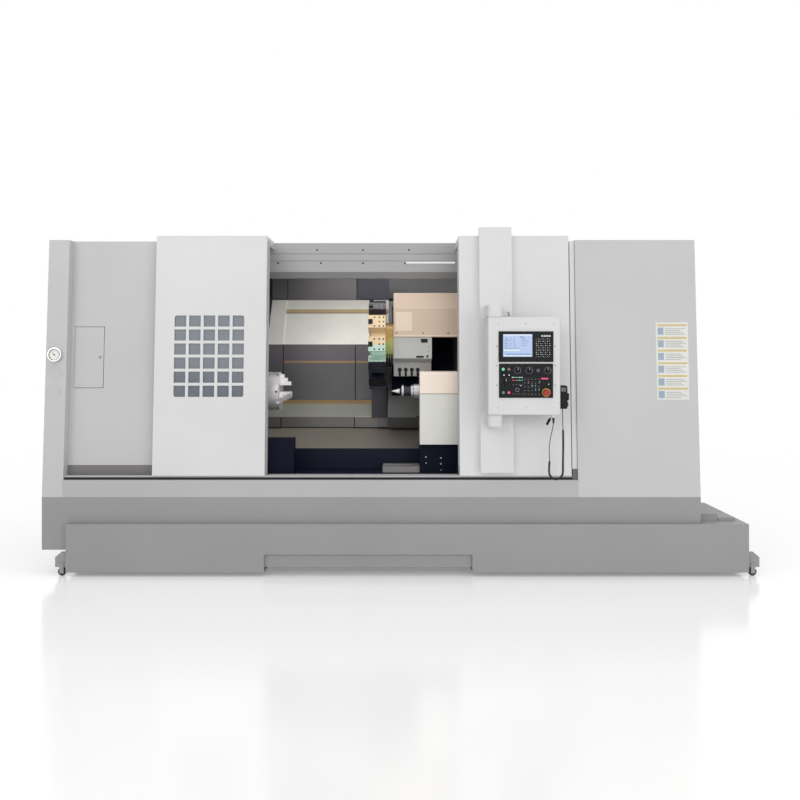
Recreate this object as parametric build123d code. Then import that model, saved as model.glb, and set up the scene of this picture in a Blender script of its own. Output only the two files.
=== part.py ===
from build123d import *
import os
from math import cos, sin, tan, radians, pi

# CNC turning lathe with a slanted bed. Millimetres, +X along the spindle to the right as the
# operator stands, +Y to the back, +Z up. The origin is on the floor, under the middle.

# General fits
running = 0.06        # radial clearance of a shaft or slide that runs in a bore
slip = 0.3            # gap between flat faces that move past each other
panel = 30            # depth of a folded sheet-metal panel
sheet = 4             # thickness of a plain guard sheet

# Cabinet
front_y = -885        # vertical front of the base
cabinet_depth = 2035
cabinet_left = -2400
cabinet_right = 2015
base_bottom = 169
paint_line = 522      # height where the light upper cabinet stands on the dark base
lean = 4.6            # degrees that the upper front leans back
column_width = 140    # flush strip at the left end
jamb_room = 43        # from the open right door to the end of the recess
recess = 85           # depth of the zone in which the doors slide
kick_height = 89      # from the sill to the foot of the fixed recessed wall
kick_depth = 20       # of the strip under that wall, behind it
jamb_strip = (26, 8)  # width of the strip in the right end of the recess, and its gap
jamb_strip_depth = 50 # in front of the recessed wall
rear_panels = 5
rear_seam = 6
rear_margin = 60      # above and below the seams
louvre_slots = 7
louvre_size = (360, 14)
louvre_pitch = 40
louvre_rise = 200     # of the lowest slot over the paint line

# Doors
sill_height = 114     # from the paint line to the top of the sill
sill_depth = 140
splash_lip = 12
track_height = 27
track_width = 30
door_thickness = 60
door_skin = 14
door_rim = 32
door_top_sheet = 24
door_rise = 29        # of the doors' top over the roof
left_door_x = -1665
left_door_width = 755
right_door_width = 750
opening_width = 1312  # between the open doors
frame_overlap = 5     # how far the fixed door frame stands behind each open door's edge

# Window in the left door
window_x = -1532
window_z = 1191
window_columns = 5
window_rows = 6
pane_width = 79
pane_height = 76
window_bar = 19.5
pane_corner = 14
glass_thickness = 8
glass_margin = 14

# Header beam over the opening
header_depth = 520    # of its front face, behind the base front
header_thickness = 40
header_height = 253
header_rise = 23      # over the roof
header_overrun = 35   # past each open door
header_lip = (22, 44) # sloping lower edge: depth and height
groove = 4
groove_drops = (130, 79)   # below the beam's top

# Slanted bed and spindle line
slant_angle = 60
spindle_depth = 420
spindle_z = 1217
bed_left = -1450
bed_right = 1500
bed_slab_top = 330
bed_back_depth = 1950
bed_front_depth = 300
bed_ledge_top = 640
way_plane = 675       # slanted bed face, measured into the bed from the spindle axis
way_height = 40
way_width = 70
way_places = (40, 700)
bed_headroom = 311    # from the bed's crest to the roof
bed_wall = 130        # round the cast cores
bed_rib = 40          # between the cores
bed_cores = 5
pedestal_left = -1950
pedestal_right = -1060
pedestal_depth = 570

# Work zone
zone_left = -1030
zone_right = 1250
wall_sheet = 20
nose_hole = 165
guard_right = -729
guard_top = 900
guard_depth = 150
guard_gap = 25        # from the bed's front
wall_behind_covers = 200
slope_low = (180, -424)    # depth behind the spindle axis and height over it, at the lip
slope_high = (485, -298)
guard_sheet = 6
trough_depth = 120
trough_bottom = 455
trough_lip = 20       # of its front edge below the sill

# Telescopic way covers: each fold of the innermost sheet, behind the spindle axis and over it
cover_bends = ((930, 702), (640, 335), (640, -94), (480, -216), (480, -292))
cover_headroom = 172  # from the covers' upper end to the roof
cover_sheet = 4
cover_step = 10       # from one sheet level to the next
wiper = 12
left_plate_end = -911
left_cover = (-1080, -253)
left_inner_start = -343
right_inner_end = 860
right_cover = (590, 1365)
right_plate_start = 1100

# Carriage
saddle_x = (-90, 470)
saddle_front = 300    # plane of the cross ways, into the bed from the spindle axis
saddle_reach = (-60, 960)
saddle_end = 120      # its thickness at the upper end
saddle_toe = 180      # at the lower end
saddle_wrap = 33      # of its shoes round the box ways
saddle_margin = 30    # of a shoe past the way's side
cross_thickness = 80
cross_x = (-60, 400)
cross_reach = (120, 860)
key_width = 140
key_height = 30
screw_radius = 25
screw_place = 390
screw_journal = 20
screw_insets = (110, 80)   # of the threaded length from the bed's two ends
screw_over_face = 5   # of its axis from the box ways' own plane
servo_holder = 55     # half width of a bearing block
servo_radius = 70
servo_length = 230
screw_support = 60
nut_radius = 48
nut_length = 150
nut_inset = 40        # from the saddle's left side

# Turret
turret_offset = 385   # of its axis from the spindle axis, up the slant
disc_x = (-223, -102)
disc_radius = 250
disc_boss = (20, 120, 150)   # raised middle of its face: height and the radii of its bevel
tool_radius = 325
stations = 12
tool_block_width = 104
tool_block_height = 67
tool_slot = 34
tool_slot_depth = 30
tool_slot_rise = 20   # over the disc's flat
tool_play = 5         # round a clamped tool
neck_length = 56
neck_radius = 150
turret_shaft = 50
turret_shaft_length = 150
turret_body_width = 274
turret_cover_width = 466
turret_front = 30     # of its front face, behind the spindle axis
turret_step = (142, 154, 30)   # the front steps back: depth, drop to it and drop of its slope
turret_split_rise = 387        # over the spindle axis
turret_foot_rise = 102
turret_cover_height = 319
turret_cover_front = 15
turret_cover_bevel = (85, 118)
turret_headroom = 108 # from the turret's cover to the header beam
bolt_pocket = 13
bolt_pocket_pitch = 44
bolt_pocket_drop = 240
bolt_pockets = 4

# Headstock, spindle and chuck
headstock_left = -1800
headstock_width = 440
headstock_height = 233  # of its crown over the spindle axis
headstock_seat = 217    # of its foot below the spindle axis
headstock_shoulder = 120
spindle_radius = 90
spindle_bore = 42
bearing_length = 130
bearing_wall = 40
spindle_tail_radius = 70
spindle_step = 80     # radius between the pulley and the rear bearing
spindle_nose = 120    # radius of the nose flange
spindle_tail = -2080
pulley_width = 66
pulley_x = -2062
spindle_pulley = 115
motor_pulley_radius = 80
motor_depth = 1150
motor_z = 800
motor_side = 300
motor_length = 420
motor_gap = 33
motor_corner = 40
motor_shaft = 32
motor_shaft_end = 10  # of the shaft past its pulley
belt_thickness = 10
belt_edge = 3         # the belt is this much narrower to each side than its pulleys
chuck_back = -946
chuck_length = 100
chuck_radius = 135
jaw_width = 40
jaw_slot = 24
jaw_end = -775
jaw_inner = 42
jaw_step = (24, 26)   # along the spindle and outwards
chuck_edge = 8
chuck_lip = 10        # behind the jaw slots, over the draw tube's end
draw_tube_gap = 2     # of the draw tube's end from that lip
draw_tube_wall = 6
draw_travel = 20
draw_head_gap = 1     # left to the spindle's tail at the end of that travel
draw_head_length = 66
draw_head_radius = 88

# Tailstock
tail_x = (138, 700)
tail_split = 853
tail_crown_rise = 142  # over the spindle axis
tail_y = (-190, 120)   # from the spindle axis
tail_corner = 18
tail_seam = 3
tail_seam_drop = 12
tail_way_height = 50
tail_way_width = 60
tail_way_places = (-100, 60)   # from the spindle axis
tail_skirt = 26       # past the ways, to each side
tail_way_left = -122
tail_way_gap = 10     # to the work zone's right wall
quill_radius = 50
quill_length = 480
quill_room = 20       # behind it in the tailstock
centre_shank = 20
centre_shank_length = 110
centre_tip = -64
centre_rings = ((11, 30), (78, 96))
centre_ring_radius = 40
centre_neck_radius = 34
centre_cone_radius = 21
centre_cone_land = 7

# Operator's panel
column_inset = 135    # from the right door's left edge
panel_column_width = 220
panel_column_foot = 689
panel_column_rise = 52     # over the doors' top
panel_column_depth = 60
box_inset = 33        # from the column's left edge
box_width = 469
box_z = (1088, 1719)
box_depth = 160
box_front = 220       # in front of the base front
box_corner = 10
pivot_inset = 50      # from the box's left side
pivot_radius = 20
pivot_arm_height = 78
pivot_arm_width = 104
pivot_arm_round = 34
pivot_gap = 3
pivot_end = 12        # of the pin short of its arm's far side
inset = 6
plate_thickness = 12

# Its plates and controls: places are from the box's left side, and heights from its foot
screen_x = (68, 422)
screen_z = (341, 539)
display_x = (96.7, 286.4)
display_z = (374, 521)
display_depth = 3
key_start = (308, 370)
key_size = 10
key_pitch = 14.2
key_rise = 1.5
key_rows = 9
key_columns = 7
switch_x = (71, 420)
switch_z = (109, 330)
stop_place = (376, 143)
stop_radius = 20
stop_reach = 45       # of the emergency stop's cap in front of the box
stop_travel = 8
stop_crown = 14
start_place = (96, 294)
button_radius = 11
button_height = 8
button_travel = 4
mode_place = (114.5, 210)
mode_radius = 23
mode_height = 24
feed_place = (266, 286)
knob_radius = 17
knob_height = 20
fixed_knobs = ((190.5, 286), (385, 286))
fixed_knob_height = 16
small_switches = ((133, 294), (100, 256.5), (133, 256.5), (324.6, 285.5), (98, 143), (133.6, 143))
small_switch_radius = 7
small_switch_height = 9
button_stem = 6

# Pendant and its cord
pendant_z = (1123, 1275)
pendant_width = 52
pendant_depth = 80
pendant_corner = 10
pendant_knob_z = 1200
pendant_knob_radius = 24
pendant_knob_height = 13
pendant_bore = 12
selector_rises = (22, 36)  # of the two fixed selectors over the pendant's foot
selector_side = 16
gland_inset = 33.3    # from the box's right side
gland_length = 16
gland_radius = 14
lead_radius = 3.5
curl_radius = 8

# Coolant tank on casters
tank_inset = 176      # of its left end from the cabinet's
tank_reach = 306      # of its right end past the cabinet's
tank_top = 348
tank_bottom = 27
tank_lip = 50         # in front of the base
tank_front_wall = 40
tray_depth = 440
tray_top = 150
notch_x = (-905, 482)
notch_top = 147
notch_recess = 25
notch_floor = 60
notch_corner = 12
tank_side_depth = 900
tank_gap = 10
tank_wall = 12
tank_fitting_gap = 5  # beside the pump box and the lid
pump_depth = 100      # of the pump box and the lid behind the base's front
pump_size = (130, 200, 47)
lid_size = (115, 160, 20)
wheel_radius = 27
wheel_width = 24
wheel_bevel = 4
wheel_inset = 35      # of its axle from the tank's end
wheel_end_gap = 40    # of its middle from the tank's front or back
axle_radius = 5
bracket_sheet = 6
bracket_height = 100
bracket_reach = 44    # past the axle
bracket_gap = 4       # over the wheel
bracket_slope = 34
fork_width = 28
fork_rise = 10        # of its foot under the axle

# Feet, gauge and hatch
foot_pad = 60
foot_stud = 20
foot_pad_height = 30
foot_nut = (36, 30)   # radius over its corners, and height
foot_columns = 5
foot_inset = 150
foot_depths = (540, 1850)
gauge_inset = 64      # of its middle from the cabinet's left end
gauge_z = 1475
gauge_radius = 47
gauge_rim = 7
gauge_recess = 5
gauge_depth = 26
plug_spacing = 126
plug_radius = 44
hatch_inset = 25      # from the recess's left end
hatch_width = 200
hatch_z = (1251, 1666)
hatch_round = 3       # of its hinged edge, about the hinge's axis
hatch_hinge_gap = 0.5 # between that edge and its frame
hatch_gap = 3.2       # above it, as it rises a little while it swings out of the leaning wall
hatch_swing_gap = 4   # at the free edge, whose back corner swings out past it
hatch_pull = 11

# Places worked out from the sizes above
cabinet_back = front_y + cabinet_depth
spindle_y = front_y + spindle_depth
turret_foot = spindle_z + turret_foot_rise
turret_split = spindle_z + turret_split_rise
turret_cover_top = turret_split + turret_cover_height
header_bottom = turret_cover_top + turret_headroom
header_top = header_bottom + header_height
cabinet_top = header_top - header_rise
door_top = cabinet_top + door_rise
panel_column_top = door_top + panel_column_rise
recess_left = cabinet_left + column_width
sill_top = paint_line + sill_height
door_foot = sill_top + track_height + slip
opening_left = left_door_x + left_door_width
opening_right = opening_left + opening_width
right_door_x = opening_right
recess_right = right_door_x + right_door_width + jamb_room
frame_left = opening_left + frame_overlap
frame_right = opening_right - frame_overlap
slope = tan(radians(lean))
header_x = (left_door_x - header_overrun, recess_right - frame_overlap)
bed_crest = cabinet_top - bed_headroom
pedestal_top = spindle_z - headstock_seat
chuck_front = chuck_back + chuck_length
screw_x = (bed_left + screw_insets[0], bed_right - screw_insets[1])
tail_crown = spindle_z + tail_crown_rise
tail_ways_x = (tail_way_left, zone_right - tail_way_gap)
column_x = right_door_x + column_inset
box_x = (column_x + box_inset, column_x + box_inset + box_width)
pivot_x = box_x[0] + pivot_inset
gland_x = box_x[1] - gland_inset
tank_x = (cabinet_left + tank_inset, cabinet_right + tank_reach)
hatch_x = (recess_left + hatch_inset, recess_left + hatch_inset + hatch_width)
pivot_y = front_y - box_front + box_depth / 2
box_front_y = front_y - box_front
box_back_y = box_front_y + box_depth
box_right = box_x[1]
plate_face = box_front_y + inset - plate_thickness


def at_depth(depth):
    """Y of a place that lies so far behind the base's front."""
    return front_y + depth


def over_spindle(place):
    """(y, z) of a place given behind the spindle axis and over it."""
    return (spindle_y + place[0], spindle_z + place[1])


def leaning_front(z, behind=0):
    """Y of the leaning cabinet front at a height, or of a plane that lies behind it."""
    return front_y + max(0, z - paint_line) * slope + behind


def slanted(up, into):
    """(y, z) of a place given up the slanted bed and into it, from the spindle axis."""
    angle = radians(slant_angle)
    y = spindle_y + up * cos(angle) + into * sin(angle)
    z = spindle_z + up * sin(angle) - into * cos(angle)
    return (y, z)


turret_y, turret_z = slanted(turret_offset, 0)


def block(x, y, z):
    """A box given by its range along each axis."""
    size = [high - low for low, high in (x, y, z)]
    middle = [(low + high) / 2 for low, high in (x, y, z)]
    return Pos(*middle) * Box(*size)


def prism(points, x):
    """A side outline of (y, z) points, pushed along X."""
    outline = make_face(Polyline(*points, close=True))
    return extrude(Plane.YZ.offset(x[0]) * outline, amount=x[1] - x[0])


def rod(radius, x, y, z):
    """A round bar along X."""
    return Pos((x[0] + x[1]) / 2, y, z) * Rot(0, 90, 0) * Cylinder(radius, x[1] - x[0])


def peg(radius, x, y, z):
    """A round bar along Y."""
    return Pos(x, (y[0] + y[1]) / 2, z) * Rot(90, 0, 0) * Cylinder(radius, y[1] - y[0])


def post(radius, x, y, z):
    """A round bar along Z."""
    return Pos(x, y, (z[0] + z[1]) / 2) * Cylinder(radius, z[1] - z[0])


def turned(section, y, z):
    """A piece turned about an axis along X, from (x, radius) points of its half section."""
    return Pos(0, y, z) * revolve(make_face(Polyline(*section, close=True)), Axis.X)


def header_slot():
    """Room for the header beam in the roofs and walls that carry it."""
    return block(
        (header_x[0] - slip, header_x[1] + slip),
        (at_depth(header_depth) - slip, at_depth(header_depth + header_thickness) + slip),
        (header_bottom - slip, header_top + slip),
    )


cover_folds = [over_spindle(bend) for bend in cover_bends]
cover_folds.insert(0, (cover_folds[0][0], cabinet_top - cover_headroom))
cover_back = cover_folds[0][0]


def cover_region(grow):
    """The space behind the way covers, grown forwards, as a face in the side view."""
    far = cover_back + cabinet_depth
    points = cover_folds + [(far, cover_folds[-1][1]), (far, cover_folds[0][1])]
    region = make_face(Polyline(*points, close=True))
    return offset(region, grow, kind=Kind.INTERSECTION) if grow else region


def cover(x, near, far):
    """A folded way cover between two offsets from the innermost sheet's back face."""
    bent = cover_region(far) - cover_region(near)
    low, high = cover_folds[-1][1], cover_folds[0][1]
    window = Pos(cover_back - cabinet_depth / 2, (low + high) / 2) * Rectangle(cabinet_depth, high - low)
    return extrude(Plane.YZ.offset(x[0]) * (bent & window), amount=x[1] - x[0])


def outer_cover(x, lip_at_low):
    """A cover of the outer level, with the wiper lip that rides on the sheet beneath."""
    lip = (x[0], x[0] + wiper) if lip_at_low else (x[1] - wiper, x[1])
    rest = (x[0] + wiper, x[1]) if lip_at_low else (x[0], x[1] - wiper)
    top = cover_step + cover_sheet
    return cover(lip, cover_sheet + slip, top) + cover(rest, cover_step, top)


def bed_casting():
    """Bed: slab, slanted way face with two box ways, headstock pedestal and tailstock ways."""
    slab_back = at_depth(bed_back_depth)
    foot = slanted(-20, way_plane)
    crest_up = (bed_crest - spindle_z + way_plane * cos(radians(slant_angle))) / sin(radians(slant_angle))
    crest = slanted(crest_up, way_plane)
    front = at_depth(bed_front_depth)
    outline = [
        (front, base_bottom),
        (front, bed_ledge_top),
        (foot[0], bed_ledge_top),
        foot,
        crest,
        (crest[0] + bed_wall, bed_crest),
        (slab_back, bed_ledge_top + tail_way_height),
        (slab_back, base_bottom),
    ]
    bed = prism(outline, (bed_left, bed_right))
    pedestal_y = (front, at_depth(bed_front_depth + pedestal_depth))
    bed += block((pedestal_left, pedestal_right), pedestal_y, (base_bottom, pedestal_top))
    bed += block((pedestal_left, bed_left), (front, slab_back), (base_bottom, bed_slab_top))
    for place in way_places:
        way = [
            slanted(place, way_plane),
            slanted(place, way_plane - way_height),
            slanted(place + way_width, way_plane - way_height),
            slanted(place + way_width, way_plane),
        ]
        bed += prism(way, (bed_left, bed_right))
    for place in tail_way_places:
        y = spindle_y + place
        bed += block(tail_ways_x, (y, y + tail_way_width), (bed_ledge_top, bed_ledge_top + tail_way_height))
    core_x = (bed_left + bed_wall, bed_right - bed_wall + bed_rib)
    pitch = (core_x[1] - core_x[0]) / bed_cores
    core = [
        (foot[0] + bed_wall, bed_slab_top),
        (foot[0] + bed_wall, bed_ledge_top + bed_wall / 2),
        (crest[0] + bed_rib, bed_crest - 2 * bed_wall),
        (slab_back - bed_wall, bed_ledge_top + bed_wall),
        (slab_back - bed_wall, bed_slab_top),
    ]
    for i in range(bed_cores):
        start = core_x[0] + i * pitch
        bed -= prism(core, (start, start + pitch - bed_rib))
    return bed


def base_skirt():
    """Dark sheet-metal skirt round the bed, open below and above."""
    outer = block((cabinet_left, cabinet_right), (front_y, cabinet_back), (base_bottom, paint_line))
    inner = block(
        (cabinet_left + panel, cabinet_right - panel),
        (front_y + panel, cabinet_back - panel),
        (base_bottom - 1, paint_line + 1),
    )
    return outer - inner


def door_sill():
    """Sill under the doors, with the raised track that guides them and an inner splash lip."""
    x = (recess_left, recess_right)
    sill = block(x, (front_y, at_depth(sill_depth)), (paint_line, sill_top))
    middle = leaning_front(sill_top, door_thickness / 2)
    track_y = (middle - track_width / 2, middle + track_width / 2)
    sill += block(x, track_y, (sill_top, sill_top + track_height))
    lip_y = (at_depth(sill_depth) - splash_lip, at_depth(sill_depth))
    sill += block((frame_left, frame_right), lip_y, (sill_top, sill_top + 2 * splash_lip))
    return sill


def cabinet(x, recessed):
    """One end of the enclosure: roof, end wall, flush front strip and recessed fixed wall."""
    back = cabinet_back - panel
    outer = [
        (front_y, paint_line),
        (leaning_front(cabinet_top), cabinet_top),
        (back, cabinet_top),
        (back, paint_line),
    ]
    low = paint_line - 1
    high = cabinet_top - panel
    inner = [
        (front_y + panel, low),
        (leaning_front(high, panel), high),
        (back + 1, high),
        (back + 1, low),
    ]
    left_end = x[0] == cabinet_left
    hollow = (x[0] + panel, x[1] + 1) if left_end else (x[0] - 1, x[1] - panel)
    shell = prism(outer, x) - prism(inner, hollow)
    deep = recess + panel
    side = (recessed[0], recessed[1] + 1) if left_end else (recessed[0] - 1, recessed[1])
    shell -= prism(
        [
            (front_y - 1, paint_line - 1),
            (leaning_front(cabinet_top) - 1, cabinet_top + 1),
            (leaning_front(cabinet_top, recess), cabinet_top + 1),
            (leaning_front(sill_top, recess), sill_top),
            (at_depth(sill_depth), sill_top),
            (at_depth(sill_depth), paint_line - 1),
        ],
        side,
    )
    wall_foot = sill_top + kick_height
    shell += prism(
        [
            (leaning_front(wall_foot, recess), wall_foot),
            (leaning_front(cabinet_top, recess), cabinet_top),
            (leaning_front(cabinet_top, deep), cabinet_top),
            (leaning_front(wall_foot, deep), wall_foot),
        ],
        recessed,
    )
    kick = sill_top + slip
    shell += prism(
        [
            (leaning_front(kick, recess + kick_depth / 2), kick),
            (leaning_front(wall_foot, recess + kick_depth), wall_foot),
            (leaning_front(wall_foot, deep), wall_foot),
            (leaning_front(kick, deep - kick_depth / 2), kick),
        ],
        recessed,
    )
    return_x = (recessed[0] - panel, recessed[0]) if left_end else (recessed[1], recessed[1] + panel)
    shell += prism(
        [
            (front_y + panel / 2, paint_line),
            (leaning_front(high, panel / 2), high),
            (leaning_front(high, deep), high),
            (front_y + sill_depth, paint_line),
        ],
        return_x,
    )
    return shell - header_slot()


def left_cabinet():
    """Left end, over the headstock: gauge column, hatch opening and bar hole in the end wall."""
    shell = cabinet((cabinet_left, frame_left), (recess_left, frame_left))
    hatch_hole = (hatch_x[0] - hatch_hinge_gap, hatch_x[1] + hatch_swing_gap)
    shell -= hatch_solid(hatch_gap, 2 * panel, hatch_hole)
    shell -= rod(draw_head_radius + slip, (cabinet_left - 1, cabinet_left + panel + 1), spindle_y, spindle_z)
    for step in (1, 2):
        z = gauge_z - step * plug_spacing
        plug = peg(plug_radius, gauge_x(), (leaning_front(z) - sheet, leaning_front(z) + panel / 2), z)
        shell += plug
    return shell


def right_cabinet():
    """Right end of the enclosure, with a jamb strip that closes the door recess."""
    shell = cabinet((frame_right, cabinet_right), (frame_right, recess_right))
    strip, gap = jamb_strip
    foot = sill_top + kick_height
    high = cabinet_top - panel
    shell += prism(
        [
            (leaning_front(foot, recess - jamb_strip_depth), foot),
            (leaning_front(high, recess - jamb_strip_depth), high),
            (leaning_front(high, recess + 1), high),
            (leaning_front(foot, recess + 1), foot),
        ],
        (recess_right - gap - strip, recess_right - gap),
    )
    return shell


def rear_cover():
    """Back wall and the roof behind the header, with louvred doors of the electrical cabinet."""
    wall_y = (cabinet_back - panel, cabinet_back)
    wall = block((cabinet_left, cabinet_right), wall_y, (paint_line, cabinet_top))
    roof = block(
        (frame_left, frame_right),
        (at_depth(header_depth + header_thickness) + slip, cabinet_back - panel),
        (cabinet_top - panel, cabinet_top),
    )
    cover_all = wall + roof
    pitch = (cabinet_right - cabinet_left) / rear_panels
    seam_y = (cabinet_back - rear_seam, cabinet_back + 1)
    seam_z = (paint_line + rear_margin, cabinet_top - rear_margin)
    for i in range(1, rear_panels):
        x = cabinet_left + i * pitch
        cover_all -= block((x - rear_seam / 2, x + rear_seam / 2), seam_y, seam_z)
    through = (wall_y[0] - 1, wall_y[1] + 1)
    width, height = louvre_size
    for i in (1, 3):
        x = cabinet_left + (i + 0.5) * pitch
        for row in range(louvre_slots):
            z = paint_line + louvre_rise + row * louvre_pitch
            cover_all -= block((x - width / 2, x + width / 2), through, (z, z + height))
    return cover_all


def inner_walls():
    """Side walls of the work zone, with the hole for the spindle nose and the chuck guard."""
    high = cabinet_top - panel - slip
    near = recess + panel + slip
    behind = cover_back + wall_behind_covers
    past = (zone_left - wall_sheet - 1, zone_right + wall_sheet + 1)
    outline = [
        (at_depth(sill_depth + slip), sill_top + slip),
        (leaning_front(sill_top + kick_height, near + kick_depth), sill_top + kick_height),
        (leaning_front(high, near), high),
        (behind, high),
        (behind, sill_top + slip),
    ]
    passage = extrude(Plane.YZ.offset(past[0]) * cover_region(cover_step), amount=past[1] - past[0])
    above = block(past, (cover_back - wall_sheet, behind + 1), (cover_folds[-1][1], cabinet_top))
    slope_y, slope_z = over_spindle(slope_high)
    floor = prism(
        [
            (at_depth(bed_front_depth) - wall_sheet, sill_top - 1),
            (at_depth(bed_front_depth) - wall_sheet, bed_ledge_top),
            (slope_y + wall_sheet, bed_ledge_top),
            (slope_y + wall_sheet, slope_z + 9),
            (behind + 1, slope_z + 9),
            (behind + 1, sill_top - 1),
        ],
        past,
    )
    walls = []
    for x in ((zone_left - wall_sheet, zone_left), (zone_right, zone_right + wall_sheet)):
        wall = prism(outline, x) - passage - above - floor - header_slot()
        walls.append(wall)
    left, right = walls
    left -= rod(nose_hole, (past[0], zone_left + 1), spindle_y, spindle_z)
    guard_y = (at_depth(guard_depth), at_depth(bed_front_depth - guard_gap))
    left += block((zone_left - 1, guard_right), guard_y, (sill_top + slip, guard_top))
    return Compound([*left.solids(), *right.solids()])


def chip_guard():
    """Chip slope under the way covers, floor over the bed ledge and the chip trough in front."""
    t = guard_sheet
    ledge = bed_ledge_top + slip
    high_y, high_z = over_spindle(slope_high)
    low_y, low_z = over_spindle(slope_low)
    top = [
        (high_y, high_z),
        (low_y, low_z),
        (low_y, ledge + t),
        (at_depth(bed_front_depth) - slip - t, ledge + t),
    ]
    trough = [
        (at_depth(bed_front_depth) - slip - t, trough_bottom + t),
        (at_depth(trough_depth) + t, trough_bottom + t),
        (at_depth(trough_depth) + t, paint_line - trough_lip),
    ]
    under = [
        (at_depth(trough_depth), paint_line - trough_lip),
        (at_depth(trough_depth), trough_bottom),
        (at_depth(bed_front_depth) - slip, trough_bottom),
        (at_depth(bed_front_depth) - slip, ledge),
        (low_y + t, ledge),
        (low_y + t, low_z - t / 2),
        (high_y, high_z - t),
    ]
    guard = prism(top + trough + under, (zone_left + slip, zone_right - slip))
    for place in tail_way_places:
        y = spindle_y + place
        guard -= block(
            (tail_ways_x[0] - 1, tail_ways_x[1] + tail_way_gap + 1),
            (y - 1, y + tail_way_width + 1),
            (bed_ledge_top - 1, bed_ledge_top + tail_way_height + 1),
        )
    return guard


def way_cover_fixed():
    """The outer cover plates fixed to the work zone's two side walls."""
    left = outer_cover((zone_left, left_plate_end), lip_at_low=False)
    right = outer_cover((right_plate_start, zone_right), lip_at_low=True)
    return Compound([*left.solids(), *right.solids()])


def way_cover_inner():
    """The outer cover plates fixed to the saddle's two sides."""
    left = outer_cover((left_inner_start, saddle_x[0]), lip_at_low=True)
    right = outer_cover((saddle_x[1], right_inner_end), lip_at_low=False)
    return Compound([*left.solids(), *right.solids()])


def way_cover_left():
    return cover(left_cover, 0, cover_sheet)


def way_cover_right():
    return cover(right_cover, 0, cover_sheet)


def saddle():
    """Saddle: a wedge from the box ways out to the cross ways, with bearings and the ball nut."""
    rear = way_plane - way_height - slip
    wrap = rear + slip + saddle_wrap
    low, high = saddle_reach
    margin = saddle_margin
    outline = [
        slanted(low, saddle_front),
        slanted(high, saddle_front),
        slanted(high, saddle_front + saddle_end),
        slanted(way_places[1] + way_width + margin, wrap),
        slanted(way_places[1] - margin, wrap),
        slanted(way_places[1] - margin, rear),
        slanted(way_places[0] + way_width + margin, rear),
        slanted(way_places[0] + way_width + margin, wrap),
        slanted(way_places[0] - margin, wrap),
        slanted(way_places[0] - margin, rear - margin),
        slanted(low, saddle_front + saddle_toe),
    ]
    body = prism(outline, saddle_x)
    for place in way_places:
        groove_outline = [
            slanted(place - slip, rear),
            slanted(place + way_width + slip, rear),
            slanted(place + way_width + slip, wrap + 1),
            slanted(place - slip, wrap + 1),
        ]
        body -= prism(groove_outline, saddle_x)
    key_x = (saddle_x[0] + saddle_x[1]) / 2
    key = [
        slanted(low, saddle_front + 1),
        slanted(low, saddle_front - key_height),
        slanted(high, saddle_front - key_height),
        slanted(high, saddle_front + 1),
    ]
    body += prism(key, (key_x - key_width / 2, key_x + key_width / 2))
    screw_y, screw_z = screw_axis()
    body -= rod(nut_radius, saddle_x, screw_y, screw_z)
    nut_x = (saddle_x[0] + nut_inset, saddle_x[0] + nut_inset + nut_length)
    nut = rod(nut_radius, nut_x, screw_y, screw_z) - rod(screw_radius + running, nut_x, screw_y, screw_z)
    clear_back = [
        slanted(screw_place - 2 * nut_radius, wrap),
        slanted(screw_place + 2 * nut_radius, wrap),
        slanted(screw_place + 2 * nut_radius, wrap + nut_radius),
        slanted(screw_place - 2 * nut_radius, wrap + nut_radius),
    ]
    nut -= prism(clear_back, nut_x)
    return body + nut


def screw_axis():
    """(y, z) of the ball screw, between the box ways."""
    return slanted(screw_place, way_plane - way_height + screw_over_face)


def z_ball_screw():
    """Ball screw that drives the saddle along the bed."""
    y, z = screw_axis()
    left, right = screw_x
    return turned(
        [
            (left - screw_support, 0),
            (left - screw_support, screw_journal),
            (left, screw_journal),
            (left, screw_radius),
            (right, screw_radius),
            (right, screw_journal),
            (bed_right, screw_journal),
            (bed_right, 0),
        ],
        y,
        z,
    )


def z_servo():
    """Bearing blocks of the ball screw and the servo motor at its right end."""
    y, z = screw_axis()
    half = servo_holder
    outline = [
        slanted(screw_place - half, way_plane),
        slanted(screw_place - half, way_plane - way_height - half),
        slanted(screw_place + half, way_plane - way_height - half),
        slanted(screw_place + half, way_plane),
    ]
    pieces = []
    left = (screw_x[0] - screw_support, screw_x[0] - slip)
    right = (screw_x[1] + slip, bed_right + slip)
    for x in (left, right):
        holder = prism(outline, x) - rod(screw_journal + running, x, y, z)
        pieces.append(holder)
    motor_x = (right[1], right[1] + servo_length)
    motor = rod(servo_radius, motor_x, y, z)
    left_holder, right_holder = pieces
    return Compound([*left_holder.solids(), *(right_holder + motor).solids()])


def cross_slide():
    """Slide on the saddle's cross ways, which carries the turret."""
    back = saddle_front - slip
    front = saddle_front - cross_thickness
    low, high = cross_reach
    outline = [slanted(low, front), slanted(high, front), slanted(high, back), slanted(low, back)]
    slide = prism(outline, cross_x)
    middle = (saddle_x[0] + saddle_x[1]) / 2
    channel = [
        slanted(low - 1, saddle_front - key_height - slip),
        slanted(high + 1, saddle_front - key_height - slip),
        slanted(high + 1, back + 1),
        slanted(low - 1, back + 1),
    ]
    half = key_width / 2 + slip
    return slide - prism(channel, (middle - half, middle + half))


def seat_on_cross_slide(z):
    """(y, z) on the cross slide's front plane at a height."""
    angle = radians(slant_angle)
    into = saddle_front - cross_thickness
    up = (z - spindle_z + into * cos(angle)) / sin(angle)
    return slanted(up, into)


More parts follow.
